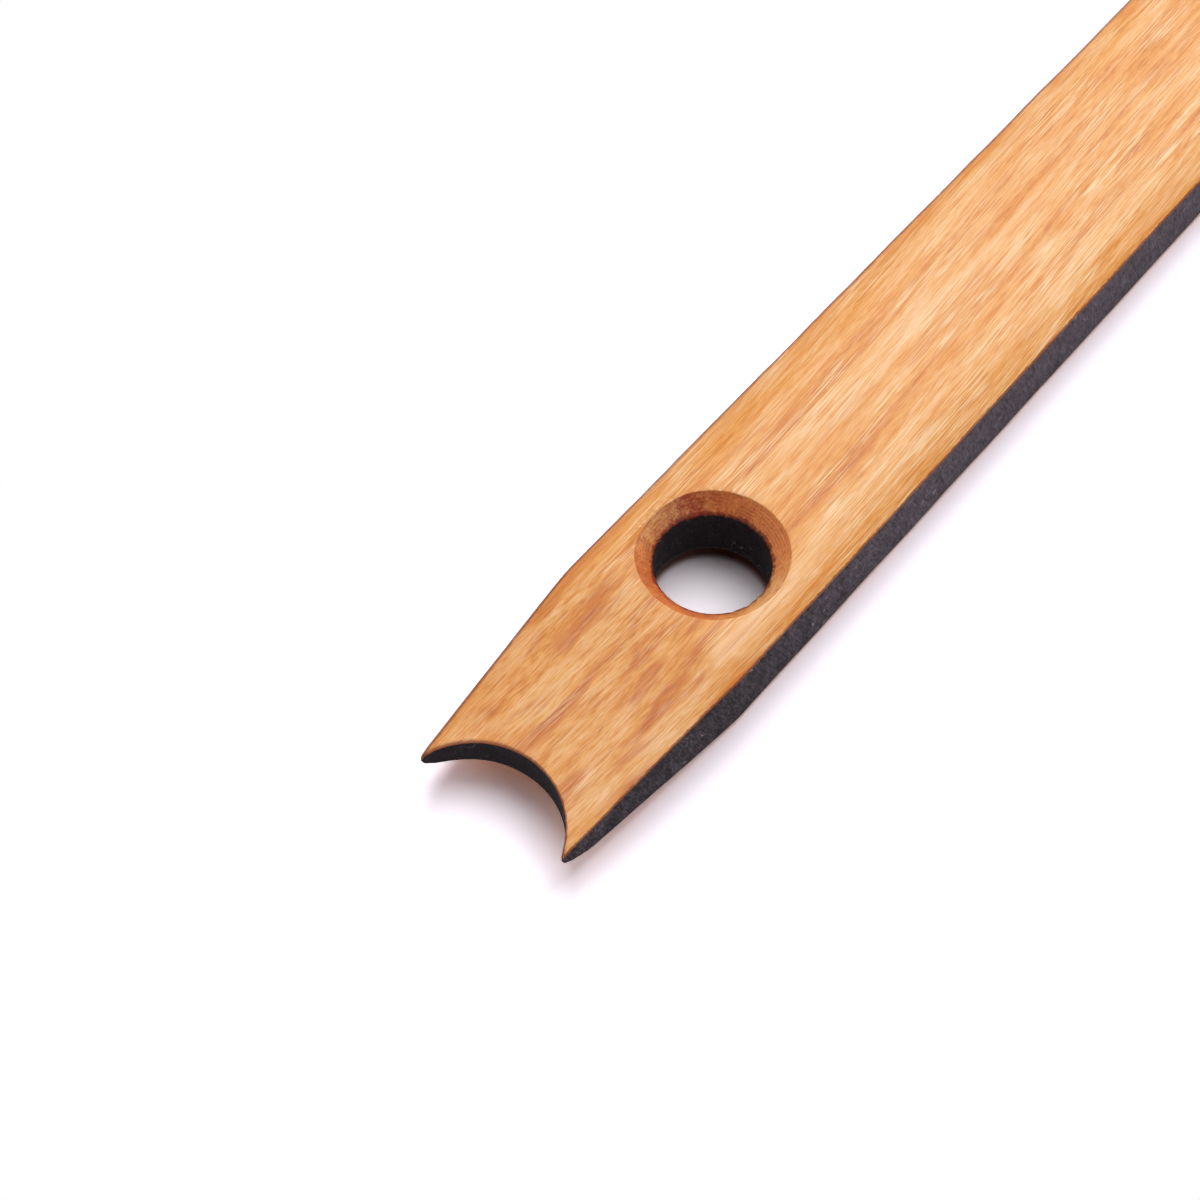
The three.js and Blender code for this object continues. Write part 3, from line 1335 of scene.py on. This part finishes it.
@dataclass(frozen=True)
class EdgeChar:
    """The burnt skin of the cut walls, with its fine lines, specks and lint.

    Attributes:
        dark: Its deepest colour.
        pale: The colour of its worn and dusty patches.
        speck: The colour of specks and lint.
        clouds: The soft patches in it.
        cuts: The fine lines that the cut has left.
        cut_slant: How far those lines lean from upright, in degrees.
        grit: Its fine grit.
        wear: How worn it is at the tips and along the body.
        worn_span: Places along X between which its wear grows from the one to the other.
        wear_shares: How strongly the lines, the patches and the grit show in the wear.
        wear_left_by_shelter_and_shade: Share of the wear that is left where nothing shelters it, and where
            all does; where less is left, the darker char is also painted shade.
        dust_fineness: Fineness of the specks of dust, per millimetre.
        dust_band: Distance from the middle of a speck over which it fades.
        dust_patches: Where in the soft patches the dust lies.
        hairs: The noise along whose middle the hairs of lint lie.
        hair_shift: Where that noise is read, in millimetres.
        hair_band: How far from its middle a hair reaches.
        hair_places: The noise that scatters the hairs.
        hair_place_band: Where in that noise they lie.
        gloss: Roughness of the char where the soft patches are low and high.
        grit_relief: How high the grit stands beside the lines.
    """

    dark: Colour = paint(38, 34, 38)
    pale: Colour = paint(122, 110, 121)
    speck: Colour = paint(168, 160, 168)
    clouds: Noise = Noise((0.45, 0.45, 0.3), 4.0, 0.6)
    cuts: Noise = Noise((4.2, 4.2, 0.7), 4.0, 0.65)
    cut_slant: float = 25.0
    grit: Noise = Noise(5.0, 3.0)
    wear: Span = (0.18, 0.5)
    worn_span: Band = Band(-78.0, -40.0)
    wear_shares: Triple = (1.7, 0.9, 1.2)
    wear_left_by_shelter_and_shade: Span = (1.0, 0.2)
    dust_fineness: float = 2.0
    dust_band: Band = Band(0.16, 0.06, 0.55)
    dust_patches: Band = Band(0.4, 0.56)
    hairs: Noise = Noise(0.45, 1.0)
    hair_shift: Triple = (31.0, 7.0, 3.0)
    hair_band: Band = Band(0.006, 0.002, 0.6)
    hair_places: Noise = Noise(0.16, 0.0)
    hair_place_band: Band = Band(0.58, 0.64)
    gloss: Span = (0.6, 0.8)
    grit_relief: float = 0.7

    def group(self) -> bpy.types.NodeTree:
        """Build the node group of the char.

        Returns:
            A group that takes a place in millimetres and how far it is kept from wear and darkened by
            painted shade, and gives colour, roughness and height.
        """
        pen, taken, given = make_group(
            "Edge char",
            {"Place": "Vector", "Sheltered and shaded": "Float"},
            {"Color": "Color", "Roughness": "Float", "Height": "Float"},
        )
        place = taken["Place"]
        clouds = pen.noise(place, self.clouds)
        slant = (0.0, math.radians(self.cut_slant), 0.0)
        slanted = pen.node("ShaderNodeMapping", {"Vector": place, "Rotation": slant})
        cuts = pen.noise(slanted.outputs[0], self.cuts)
        grit = pen.noise(place, self.grit)
        worn = pen.between(self.wear, pen.band(pen.split(place)["X"], self.worn_span))
        for pattern, share in zip((cuts, clouds, grit), self.wear_shares):
            worn = pen.plus(worn, pen.times(pen.swing(pattern), share))
        # Painted shade as well as less wear: in the hole and on the concave end the char keeps less of its
        # pale wear.
        wear_and_shade_share = pen.between(self.wear_left_by_shelter_and_shade, taken["Sheltered and shaded"])
        worn = pen.math("MULTIPLY", worn, wear_and_shade_share, clamp=True)
        colour = pen.mix(worn, self.dark, self.pale)
        colour = pen.mix(self._litter(pen, place, clouds), colour, self.speck)
        rough = pen.between(self.gloss, clouds)
        height = pen.plus(cuts, pen.times(grit, self.grit_relief))
        return pen.give(given, {"Color": colour, "Roughness": rough, "Height": height})

    def _litter(self, pen: Pen, place: Input, clouds: Input) -> Input:
        """Scatter specks of dust and hairs of lint.

        Args:
            pen: Pen of the group.
            place: A place in millimetres.
            clouds: The value of the soft patches.

        Returns:
            The socket of their mask.
        """
        dots = pen.node("ShaderNodeTexVoronoi", {"Vector": place, "Scale": self.dust_fineness})
        specks = pen.band(dots.outputs["Distance"], self.dust_band)
        dust = pen.times(specks, pen.band(clouds, self.dust_patches))
        curl = pen.noise(pen.vector("ADD", place, self.hair_shift), self.hairs)
        hair = pen.band(pen.math("ABSOLUTE", pen.swing(curl)), self.hair_band)
        lint = pen.times(hair, pen.band(pen.noise(place, self.hair_places), self.hair_place_band))
        return pen.math("MAXIMUM", dust, lint)


@dataclass(frozen=True)
class SinkScorch:
    """The countersinks: end grain browned by heat, with fine rings and radial marks left by the cutter,
    and painted shade on the side that faces away from the light.

    Attributes:
        long: Colour where the cutter ran along the grain.
        long_share: Share of that colour in the wood's there.
        end: Colour where it cut across the grain.
        end_band: Closeness to the grain's direction over which that colour comes in.
        grain_side: Direction of the grain.
        deep: Colour of the most heated side, which there also stands for painted shade, and of the rim of
            the bore.
        fuzz: The fine unevenness of the scorch and of its painted shade.
        blots: The broad unevenness of the scorch and of its painted shade.
        ring: Spacing of the cutter's rings in millimetres.
        ring_wobble: How far the fine unevenness pushes the rings aside.
        ring_patches: Where in the broad unevenness the rings show.
        ring_band: Where in a ring its mark lies.
        hot_and_shaded_side: Direction from the hole's centre to the most heated side, which faces away
            from the light and also gets painted shade.
        hot_and_shaded_band: Closeness to that direction over which the heat and the painted shade grow.
        warm_side: Direction to the side that is browned over a wider stretch.
        warm_band: Closeness to that direction over which it browns.
        low_band: Distance from the bore's rim over which it browns.
        burn_and_shade_patches: Where in the whole unevenness the scorch and its painted shade take.
        strokes: The radial marks.
        stroke_band: Where in that noise they lie.
        scuff: Colour of the small worn spots.
        scuffs: The noise that scatters those spots.
        scuff_band: Where in that noise they lie.
        ring_relief: How high the rings stand.
        fuzz_relief: How high the fine unevenness stands.
    """

    long: Colour = paint(255, 190, 116)
    long_share: float = 0.6
    end: Colour = paint(242, 146, 78)
    end_band: Band = Band(0.25, 0.85)
    grain_side: Triple = (0.99, -0.12, 0.0)
    deep: Colour = paint(154, 50, 8)
    fuzz: Noise = Noise(2.6, 4.0, 0.65)
    blots: Noise = Noise(0.6, 3.0)
    ring: float = 0.27
    ring_wobble: float = 0.3
    ring_patches: Band = Band(0.4, 0.6)
    ring_band: Band = Band(0.0, 1.0, 0.25)
    hot_and_shaded_side: Triple = (0.766, 0.643, 0.0)
    hot_and_shaded_band: Band = Band(0.65, 1.0, 0.55)
    warm_side: Triple = (-0.8, 0.6, 0.0)
    warm_band: Band = Band(-1.0, 0.4, 0.6)
    low_band: Band = Band(1.5, 0.1, 0.35)
    burn_and_shade_patches: Band = Band(0.5, 1.3)
    strokes: Noise = Noise((0.9, 4.5, 2.5), 3.0, 0.6)
    stroke_band: Band = Band(0.46, 0.68, 0.35)
    scuff: Colour = paint(244, 180, 128)
    scuffs: Noise = Noise(4.5, 2.0)
    scuff_band: Band = Band(0.56, 0.72, 0.3)
    ring_relief: float = 0.25
    fuzz_relief: float = 2.0

    def group(self) -> bpy.types.NodeTree:
        """Build the node group of the countersinks.

        Returns:
            A group that takes the wood's colour, a place from the hole's centre and the distance from
            the bore's rim, and gives colour and height.
        """
        pen, taken, given = make_group(
            "Countersink scorch",
            {"Wood": "Color", "Place": "Vector", "Rim": "Float"},
            {"Color": "Color", "Height": "Float"},
        )
        place = taken["Place"]
        flat = pen.vector("MULTIPLY", place, (1.0, 1.0, 0.0))
        out = pen.vector("NORMALIZE", flat)
        fuzz = pen.noise(place, self.fuzz)
        blots = pen.noise(place, self.blots)
        wobbly = pen.plus(pen.vector("LENGTH", flat), pen.times(fuzz, self.ring_wobble))
        rings = pen.math("SINE", pen.times(wobbly, math.tau / self.ring))
        rings = pen.times(rings, pen.band(blots, self.ring_patches))

        along = pen.math("ABSOLUTE", pen.vector("DOT_PRODUCT", out, self.grain_side))
        ends = pen.band(pen.plus(along, pen.swing(fuzz)), self.end_band)
        colour = pen.mix(ends, pen.mix(self.long_share, taken["Wood"], self.long), self.end)
        # Painted shade as well as heat: the side of the cone that faces away from the light is darkened.
        hot_and_shaded = pen.band(pen.vector("DOT_PRODUCT", out, self.hot_and_shaded_side), self.hot_and_shaded_band)
        warm = pen.band(pen.vector("DOT_PRODUCT", out, self.warm_side), self.warm_band)
        burn_and_shade = pen.plus(hot_and_shaded, warm, pen.band(taken["Rim"], self.low_band))
        takes = pen.band(pen.plus(blots, fuzz), self.burn_and_shade_patches)
        colour = pen.mix(pen.math("MULTIPLY", burn_and_shade, takes, clamp=True), colour, self.deep)

        strokes = pen.band(pen.noise(place, self.strokes), self.stroke_band)
        marks = pen.math("ADD", strokes, pen.band(rings, self.ring_band), clamp=True)
        colour = pen.mix(marks, colour, self.deep)
        scuffs = pen.band(pen.noise(place, self.scuffs), self.scuff_band)
        colour = pen.mix(scuffs, colour, self.scuff)
        relief = pen.plus(pen.times(rings, self.ring_relief), pen.times(fuzz, self.fuzz_relief))
        return pen.give(given, {"Color": colour, "Height": relief})


@dataclass(frozen=True)
class Skin:
    """How a part of the board's surface throws light back.

    Attributes:
        name: Name of its material.
        density: Index of refraction, which sets how bright its sheen is.
        oil: How much of a thin coat of oil lies on it.
    """

    name: str
    density: float
    oil: float


@dataclass(frozen=True)
class StickFinish:
    """The finish of the whole board: wood, countersinks and char, laid out by distance from the rims.

    Attributes:
        hole_x: Centre of the hole, in millimetres.
        grain: The dressed wood.
        char: The cut walls.
        sink: The countersinks.
        sheltered_and_shaded_aside: Distance from the middle line within which the char is kept from wear
            and darkened with painted shade.
        sheltered_and_shaded_along: Place along the board before which it is.
        sink_band: Distance from the mouth of the hole over which the countersink's finish begins.
        far_side: Places across the board between which the heat of the cut shows more.
        halo: Colour of the wood that the cutter's heat has tinted round the countersinks.
        halo_band: Distance from the mouth of the hole over which that tint fades.
        halo_noise: Its unevenness.
        halo_patches: Where in that noise it shows.
        ragged: The unevenness of the burnt line.
        ragged_by_sink: How far it pushes the line, on the rims and in the countersinks, in millimetres.
        soot_heights: Heights between which the soot of the lower countersink begins.
        soot_reach: How far from the bore's lower rim the soot goes.
        scorch: Colour of the wood that the cut has browned beside the char.
        scorch_share: How much of that colour there is.
        scorch_width: How far in from the rim the brown goes, in millimetres.
        scorch_full: How far in from the rim it is full.
        scorch_spread: How much wider it is where the heat shows more.
        black_band: Distance from the rim over which the wood turns to char.
        relief: Height of the relief, in millimetres.
        coat_gloss: Roughness of the coat of oil.
        skins: The oiled skin of the faces, and the dull one of the walls.
    """

    hole_x: float
    grain: BoardGrain = field(default_factory=BoardGrain)
    char: EdgeChar = field(default_factory=EdgeChar)
    sink: SinkScorch = field(default_factory=SinkScorch)
    sheltered_and_shaded_aside: Band = Band(9.4, 8.6)
    sheltered_and_shaded_along: Band = Band(-50.0, -56.0)
    sink_band: Band = Band(0.05, -0.05)
    far_side: Band = Band(-6.0, 7.0)
    halo: Colour = paint(206, 122, 50)
    halo_band: Band = Band(1.4, 0.0, 0.8)
    halo_noise: Noise = Noise(1.7, 3.0)
    halo_patches: Band = Band(0.3, 0.75)
    ragged: Noise = Noise((1.6, 1.6, 0.64), 4.0, 0.65)
    ragged_by_sink: Span = (0.35, 2.15)
    soot_heights: Band = Band(3.0, 1.8)
    soot_reach: float = 1.2
    scorch: Colour = paint(118, 28, 8)
    scorch_share: float = 0.8
    scorch_width: float = 0.25
    scorch_full: float = 0.15
    scorch_spread: float = 0.35
    black_band: Band = Band(-0.01, -0.08)
    relief: float = 0.03
    coat_gloss: float = 0.3
    skins: tuple[Skin, Skin] = (Skin("oiled_wood", 1.4, 0.1), Skin("charred_wall", 1.2, 0.0))

    def materials(self) -> list[bpy.types.Material]:
        """Build the two materials.

        Returns:
            The materials of the faces and of the walls, which show the same colours.
        """
        layout = self.group()
        return [self._material(skin, layout) for skin in self.skins]

    def group(self) -> bpy.types.NodeTree:
        """Build the node group that lays out wood, countersinks and char.

        Returns:
            A group that takes a place in millimetres and the distances from the nearest rim and from
            the mouth of the hole, and gives colour, roughness and height.
        """
        pen, taken, given = make_group(
            "Stick layout",
            {"Place": "Vector", "Rim": "Float", "Mouth": "Float"},
            {"Color": "Color", "Roughness": "Float", "Height": "Float"},
        )
        place, rim = taken["Place"], taken["Rim"]
        split = pen.split(place)
        wood = pen.group(self.grain.group(), {"Place": place, "Rim": rim})
        # Painted shade as well as shelter from wear: the char in the hole and on the concave end is
        # darker.
        aside = pen.band(pen.math("ABSOLUTE", split["Y"]), self.sheltered_and_shaded_aside)
        sheltered_and_shaded = pen.times(aside, pen.band(split["X"], self.sheltered_and_shaded_along))
        burnt = pen.group(self.char.group(), {"Place": place, "Sheltered and shaded": sheltered_and_shaded})
        from_hole = pen.vector("SUBTRACT", place, (self.hole_x, 0.0, 0.0))
        sunk = pen.group(self.sink.group(), {"Wood": wood["Color"], "Place": from_hole, "Rim": rim})

        in_sink = pen.band(taken["Mouth"], self.sink_band)
        far_side = pen.band(split["Y"], self.far_side)
        fuzz = pen.band(pen.noise(place, self.halo_noise), self.halo_patches)
        halo = pen.times(pen.band(taken["Mouth"], self.halo_band), fuzz, far_side)
        colour = pen.mix(halo, wood["Color"], self.halo)
        colour = pen.mix(in_sink, colour, sunk["Color"])

        edge = self._burnt_line(pen, place, rim, in_sink)
        spread = pen.times(pen.math("MAXIMUM", far_side, in_sink), self.scorch_spread)
        browned = pen.rise(edge, pen.plus(spread, self.scorch_width), self.scorch_full)
        colour = pen.mix(pen.times(browned, self.scorch_share), colour, self.scorch)
        blackened = pen.band(edge, self.black_band)
        colour = pen.mix(blackened, colour, burnt["Color"])
        rough = pen.mix_values(blackened, wood["Roughness"], burnt["Roughness"])
        height = pen.mix_values(in_sink, wood["Height"], sunk["Height"])
        height = pen.mix_values(blackened, height, burnt["Height"])
        return pen.give(given, {"Color": colour, "Roughness": rough, "Height": height})

    def _burnt_line(self, pen: Pen, place: Input, rim: Input, in_sink: Input) -> Input:
        """Find the distance from the ragged line where the char begins.

        Args:
            pen: Pen of the group.
            place: A place in millimetres.
            rim: Distance from the nearest rim.
            in_sink: Mask of the countersinks.

        Returns:
            The distance's socket, negative in the char.
        """
        amount = pen.between(self.ragged_by_sink, in_sink)
        edge = pen.plus(rim, pen.times(pen.swing(pen.noise(place, self.ragged)), amount))
        sooted = pen.times(in_sink, pen.band(pen.split(place)["Z"], self.soot_heights))
        return pen.math("SUBTRACT", edge, pen.times(sooted, self.soot_reach))

    def _material(self, skin: Skin, layout: bpy.types.NodeTree) -> bpy.types.Material:
        """Build one material.

        Args:
            skin: How it throws light back.
            layout: The node group that lays out its colours.

        Returns:
            The material.
        """
        made = bpy.data.materials.new(skin.name)
        pen = clean_pen(made)
        coords = pen.node("ShaderNodeTexCoord").outputs["Object"]
        place = pen.node("ShaderNodeMapping", {"Vector": coords, "Scale": (1 / MM,) * 3}).outputs[0]
        rim = pen.node("ShaderNodeAttribute", attribute_name=RIM).outputs["Fac"]
        mouth = pen.node("ShaderNodeAttribute", attribute_name=MOUTH).outputs["Fac"]
        laid = pen.group(layout, {"Place": place, "Rim": rim, "Mouth": mouth})
        bump = pen.node(
            "ShaderNodeBump", {"Height": laid["Height"], "Distance": self.relief * MM, "Strength": 1.0}
        )
        shader = pen.node(
            "ShaderNodeBsdfPrincipled",
            {
                "Base Color": laid["Color"],
                "Roughness": laid["Roughness"],
                "Normal": bump.outputs[0],
                "IOR": skin.density,
                "Coat Weight": skin.oil,
                "Coat Roughness": self.coat_gloss,
            },
        )
        output = pen.node("ShaderNodeOutputMaterial", {"Surface": shader.outputs[0]})
        output.is_active_output = True
        return made


@dataclass(frozen=True)
class Lamp:
    """One soft lamp over the stick.

    Attributes:
        name: What it does.
        toward: Direction from the stick to the lamp.
        away: Its distance in metres.
        size: Its side in metres.
        share: Share of a plain level of light that it gives where it faces the floor.
        colour: Its colour.
    """

    name: str
    toward: Triple
    away: float
    size: float
    share: float
    colour: Triple = (1.0, 1.0, 1.0)

    def build(self) -> bpy.types.Object:
        """Hang the lamp.

        Returns:
            The lamp's object.
        """
        data = bpy.data.lights.new(self.name, "AREA")
        data.shape = "DISK"
        data.size = self.size
        data.color = self.colour
        direction = Vector(self.toward).normalized()
        data.energy = self.share * math.pi**2 * self.away**2 / direction.z
        lamp = bpy.data.objects.new(self.name, data)
        lamp.location = direction * self.away
        lamp.rotation_euler = direction.to_track_quat("Z", "Y").to_euler()
        bpy.context.scene.collection.objects.link(lamp)
        return lamp


@dataclass(frozen=True)
class Studio:
    """The plain pale floor, the soft light and the camera.

    Attributes:
        lamps: The lamps.
        fill: Colour of the light that comes from all round.
        fill_share: Share of a plain level of light that it gives.
        dim_side: Direction from which little of it comes, which is the camera's side.
        dim_band: Closeness to that direction over which it dims, and by what share.
        floor_radius: Radius of the floor in metres.
        floor_sides: Sides of the floor's outline.
        floor_colour: Colour of the floor in the light that it throws back.
        floor_seen: Its colour to the camera, bright enough to be white wherever no shadow falls.
        floor_in_hole_painted_shade: The same in the middle of the hole, lowered there as painted shade.
        floor_painted_shadow: The same in the painted brown shadow under the hole's lower countersink.
        hole_painted_shadow: Distances from the hole's axis, in millimetres, between which that painted
            shadow begins.
        shade_reach: Distance from the stick, in millimetres, within which the floor shows its shadow.
        camera_place: Place of the camera in millimetres.
        camera_aim: Direction in which it looks.
        lens: Its focal length in millimetres, on a sensor of 36.
        clip: Distances in metres between which it sees.
    """

    lamps: tuple[Lamp, ...] = (
        Lamp("key", (0.32, 0.12, 0.94), 0.8, 0.7, 0.6, (1.0, 0.99, 0.97)),
        Lamp("side", (0.1, -0.75, 0.66), 0.8, 0.6, 0.08),
        Lamp("sheen", (0.68, 0.28, 0.68), 0.8, 0.5, 0.14),
    )
    fill: Colour = (1.0, 0.95, 0.98, 1.0)
    fill_share: float = 0.4
    dim_side: Triple = (-0.66, -0.42, 0.62)
    dim_band: Band = Band(0.55, 0.9, 0.9)
    floor_radius: float = 3.0
    floor_sides: int = 64
    floor_colour: Colour = (0.85, 0.84, 0.85, 1.0)
    floor_seen: Colour = (1.64, 1.55, 1.68, 1.0)
    floor_in_hole_painted_shade: Colour = (1.45, 1.38, 1.47, 1.0)
    floor_painted_shadow: Colour = (0.26, 0.15, 0.14, 1.0)
    hole_painted_shadow: Band = Band(5.9, 7.0)
    shade_reach: Band = Band(25.0, 60.0)
    camera_place: Triple = (-206.9, -99.2, 258.55)
    camera_aim: Triple = (0.4334, 0.3498, -0.8305)
    lens: float = 86.43
    clip: Span = (0.01, 10.0)

    def build(self, board: Board) -> None:
        """Set up the floor, the light and the camera.

        Args:
            board: The stick that the floor's shadow goes round.
        """
        for lamp in self.lamps:
            lamp.build()
        self._floor(board)
        self._world()
        self._camera()

    @staticmethod
    def _seen(pen: Pen) -> Input:
        """Mask of the rays that show a white background: the camera's, and those of gloss and glass.

        Args:
            pen: Pen of the floor's material or of the world.

        Returns:
            The mask's socket.
        """
        path = pen.node("ShaderNodeLightPath").outputs
        shiny = pen.math("MAXIMUM", path["Is Glossy Ray"], path["Is Transmission Ray"])
        return pen.math("MAXIMUM", path["Is Camera Ray"], shiny)

    def _floor(self, board: Board) -> None:
        """Lay the floor.

        Args:
            board: The stick that lies on it.
        """
        bm = bmesh.new()
        bmesh.ops.create_circle(bm, cap_ends=True, segments=self.floor_sides, radius=self.floor_radius)
        mesh = bpy.data.meshes.new("floor")
        bm.to_mesh(mesh)
        bm.free()
        floor = bpy.data.objects.new("floor", mesh)
        bpy.context.scene.collection.objects.link(floor)
        mesh.materials.append(self._floor_material(board))

    def _floor_material(self, board: Board) -> bpy.types.Material:
        """Build the floor's material, white to the camera beyond the reach of the stick's shadow.

        Args:
            board: The stick that lies on the floor.

        Returns:
            The material.
        """
        made = bpy.data.materials.new("white_floor")
        pen = clean_pen(made)
        coords = pen.node("ShaderNodeTexCoord").outputs["Object"]
        place = pen.vector("MULTIPLY", coords, (1 / MM, 1 / MM, 0.0))
        folded = pen.vector("ABSOLUTE", place)
        reach = (board.length / 2, board.half_width, 0.0)
        beyond = pen.vector("LENGTH", pen.vector("MAXIMUM", pen.vector("SUBTRACT", folded, reach)))
        share = pen.times(pen.band(beyond, self.shade_reach), self._seen(pen))
        looked_at = pen.node("ShaderNodeLightPath").outputs["Is Camera Ray"]
        tone = pen.mix(looked_at, self.floor_colour, self._floor_tone(pen, place, board))
        matt = pen.node("ShaderNodeBsdfDiffuse", {"Color": tone})
        white = pen.node("ShaderNodeEmission", {"Color": WHITE, "Strength": 1.0})
        mixed = pen.node("ShaderNodeMixShader", {0: share, 1: matt.outputs[0], 2: white.outputs[0]})
        pen.node("ShaderNodeOutputMaterial", {"Surface": mixed.outputs[0]})
        return made

    def _floor_tone(self, pen: Pen, place: Input, board: Board) -> Input:
        """Tone the floor that the camera sees, with painted shade in the hole and a painted brown shadow
        under the hole's lower countersink.

        Args:
            pen: Pen of the floor's material.
            place: A place on the floor in millimetres.
            board: The stick that lies on the floor.

        Returns:
            The colour's socket.
        """
        from_hole = pen.vector("LENGTH", pen.vector("SUBTRACT", place, (board.hole_x, 0.0, 0.0)))
        # Painted shadow: the floor seen through the hole is dimmed, and turns dark brown under the lower
        # countersink.
        painted_hole_shadow = pen.mix(pen.band(from_hole, self.hole_painted_shadow), self.floor_in_hole_painted_shade, self.floor_painted_shadow)
        near_hole_shadow = pen.rise(from_hole, board.half_width, self.hole_painted_shadow.high)
        return pen.mix(near_hole_shadow, self.floor_seen, painted_hole_shadow)

    def _world(self) -> None:
        """Fill the shadows from all round, behind a white background."""
        world = bpy.data.worlds.new("studio")
        bpy.context.scene.world = world
        pen = clean_pen(world)
        toward = pen.node("ShaderNodeTexCoord").outputs["Generated"]
        dimmed = pen.band(pen.vector("DOT_PRODUCT", toward, self.dim_side), self.dim_band)
        strength = pen.between((self.fill_share, 0.0), dimmed)
        lit = pen.node("ShaderNodeBackground", {"Color": self.fill, "Strength": strength})
        white = pen.node("ShaderNodeBackground", {"Color": WHITE, "Strength": 1.0})
        mixed = pen.node(
            "ShaderNodeMixShader", {0: self._seen(pen), 1: lit.outputs[0], 2: white.outputs[0]}
        )
        pen.node("ShaderNodeOutputWorld", {"Surface": mixed.outputs[0]})

    def _camera(self) -> None:
        """Set the camera at the photograph's viewing angle."""
        data = bpy.data.cameras.new("camera")
        data.lens = self.lens
        data.clip_start, data.clip_end = self.clip
        camera = bpy.data.objects.new("camera", data)
        camera.location = Vector(self.camera_place) * MM
        camera.rotation_euler = Vector(self.camera_aim).to_track_quat("-Z", "Y").to_euler()
        bpy.context.scene.collection.objects.link(camera)
        bpy.context.scene.camera = camera


def main() -> None:
    """Build the stick and its studio in order, and log the stick's points and faces."""
    logging.basicConfig(level=logging.INFO, format="%(name)s: %(message)s")
    bpy.context.scene.view_settings.view_transform = "Standard"
    low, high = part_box(NODE)
    length, width, thickness = (high - low) / MM
    board = Board(length, width, thickness)
    Studio().build(board)
    maker = FootStick(board)
    stick = maker.build()
    maker.dress(stick, StickFinish(board.hole_x))
    log.info("%s: %d points, %d faces", stick.name, len(stick.data.vertices), len(stick.data.polygons))


if __name__ == "__main__":
    main()
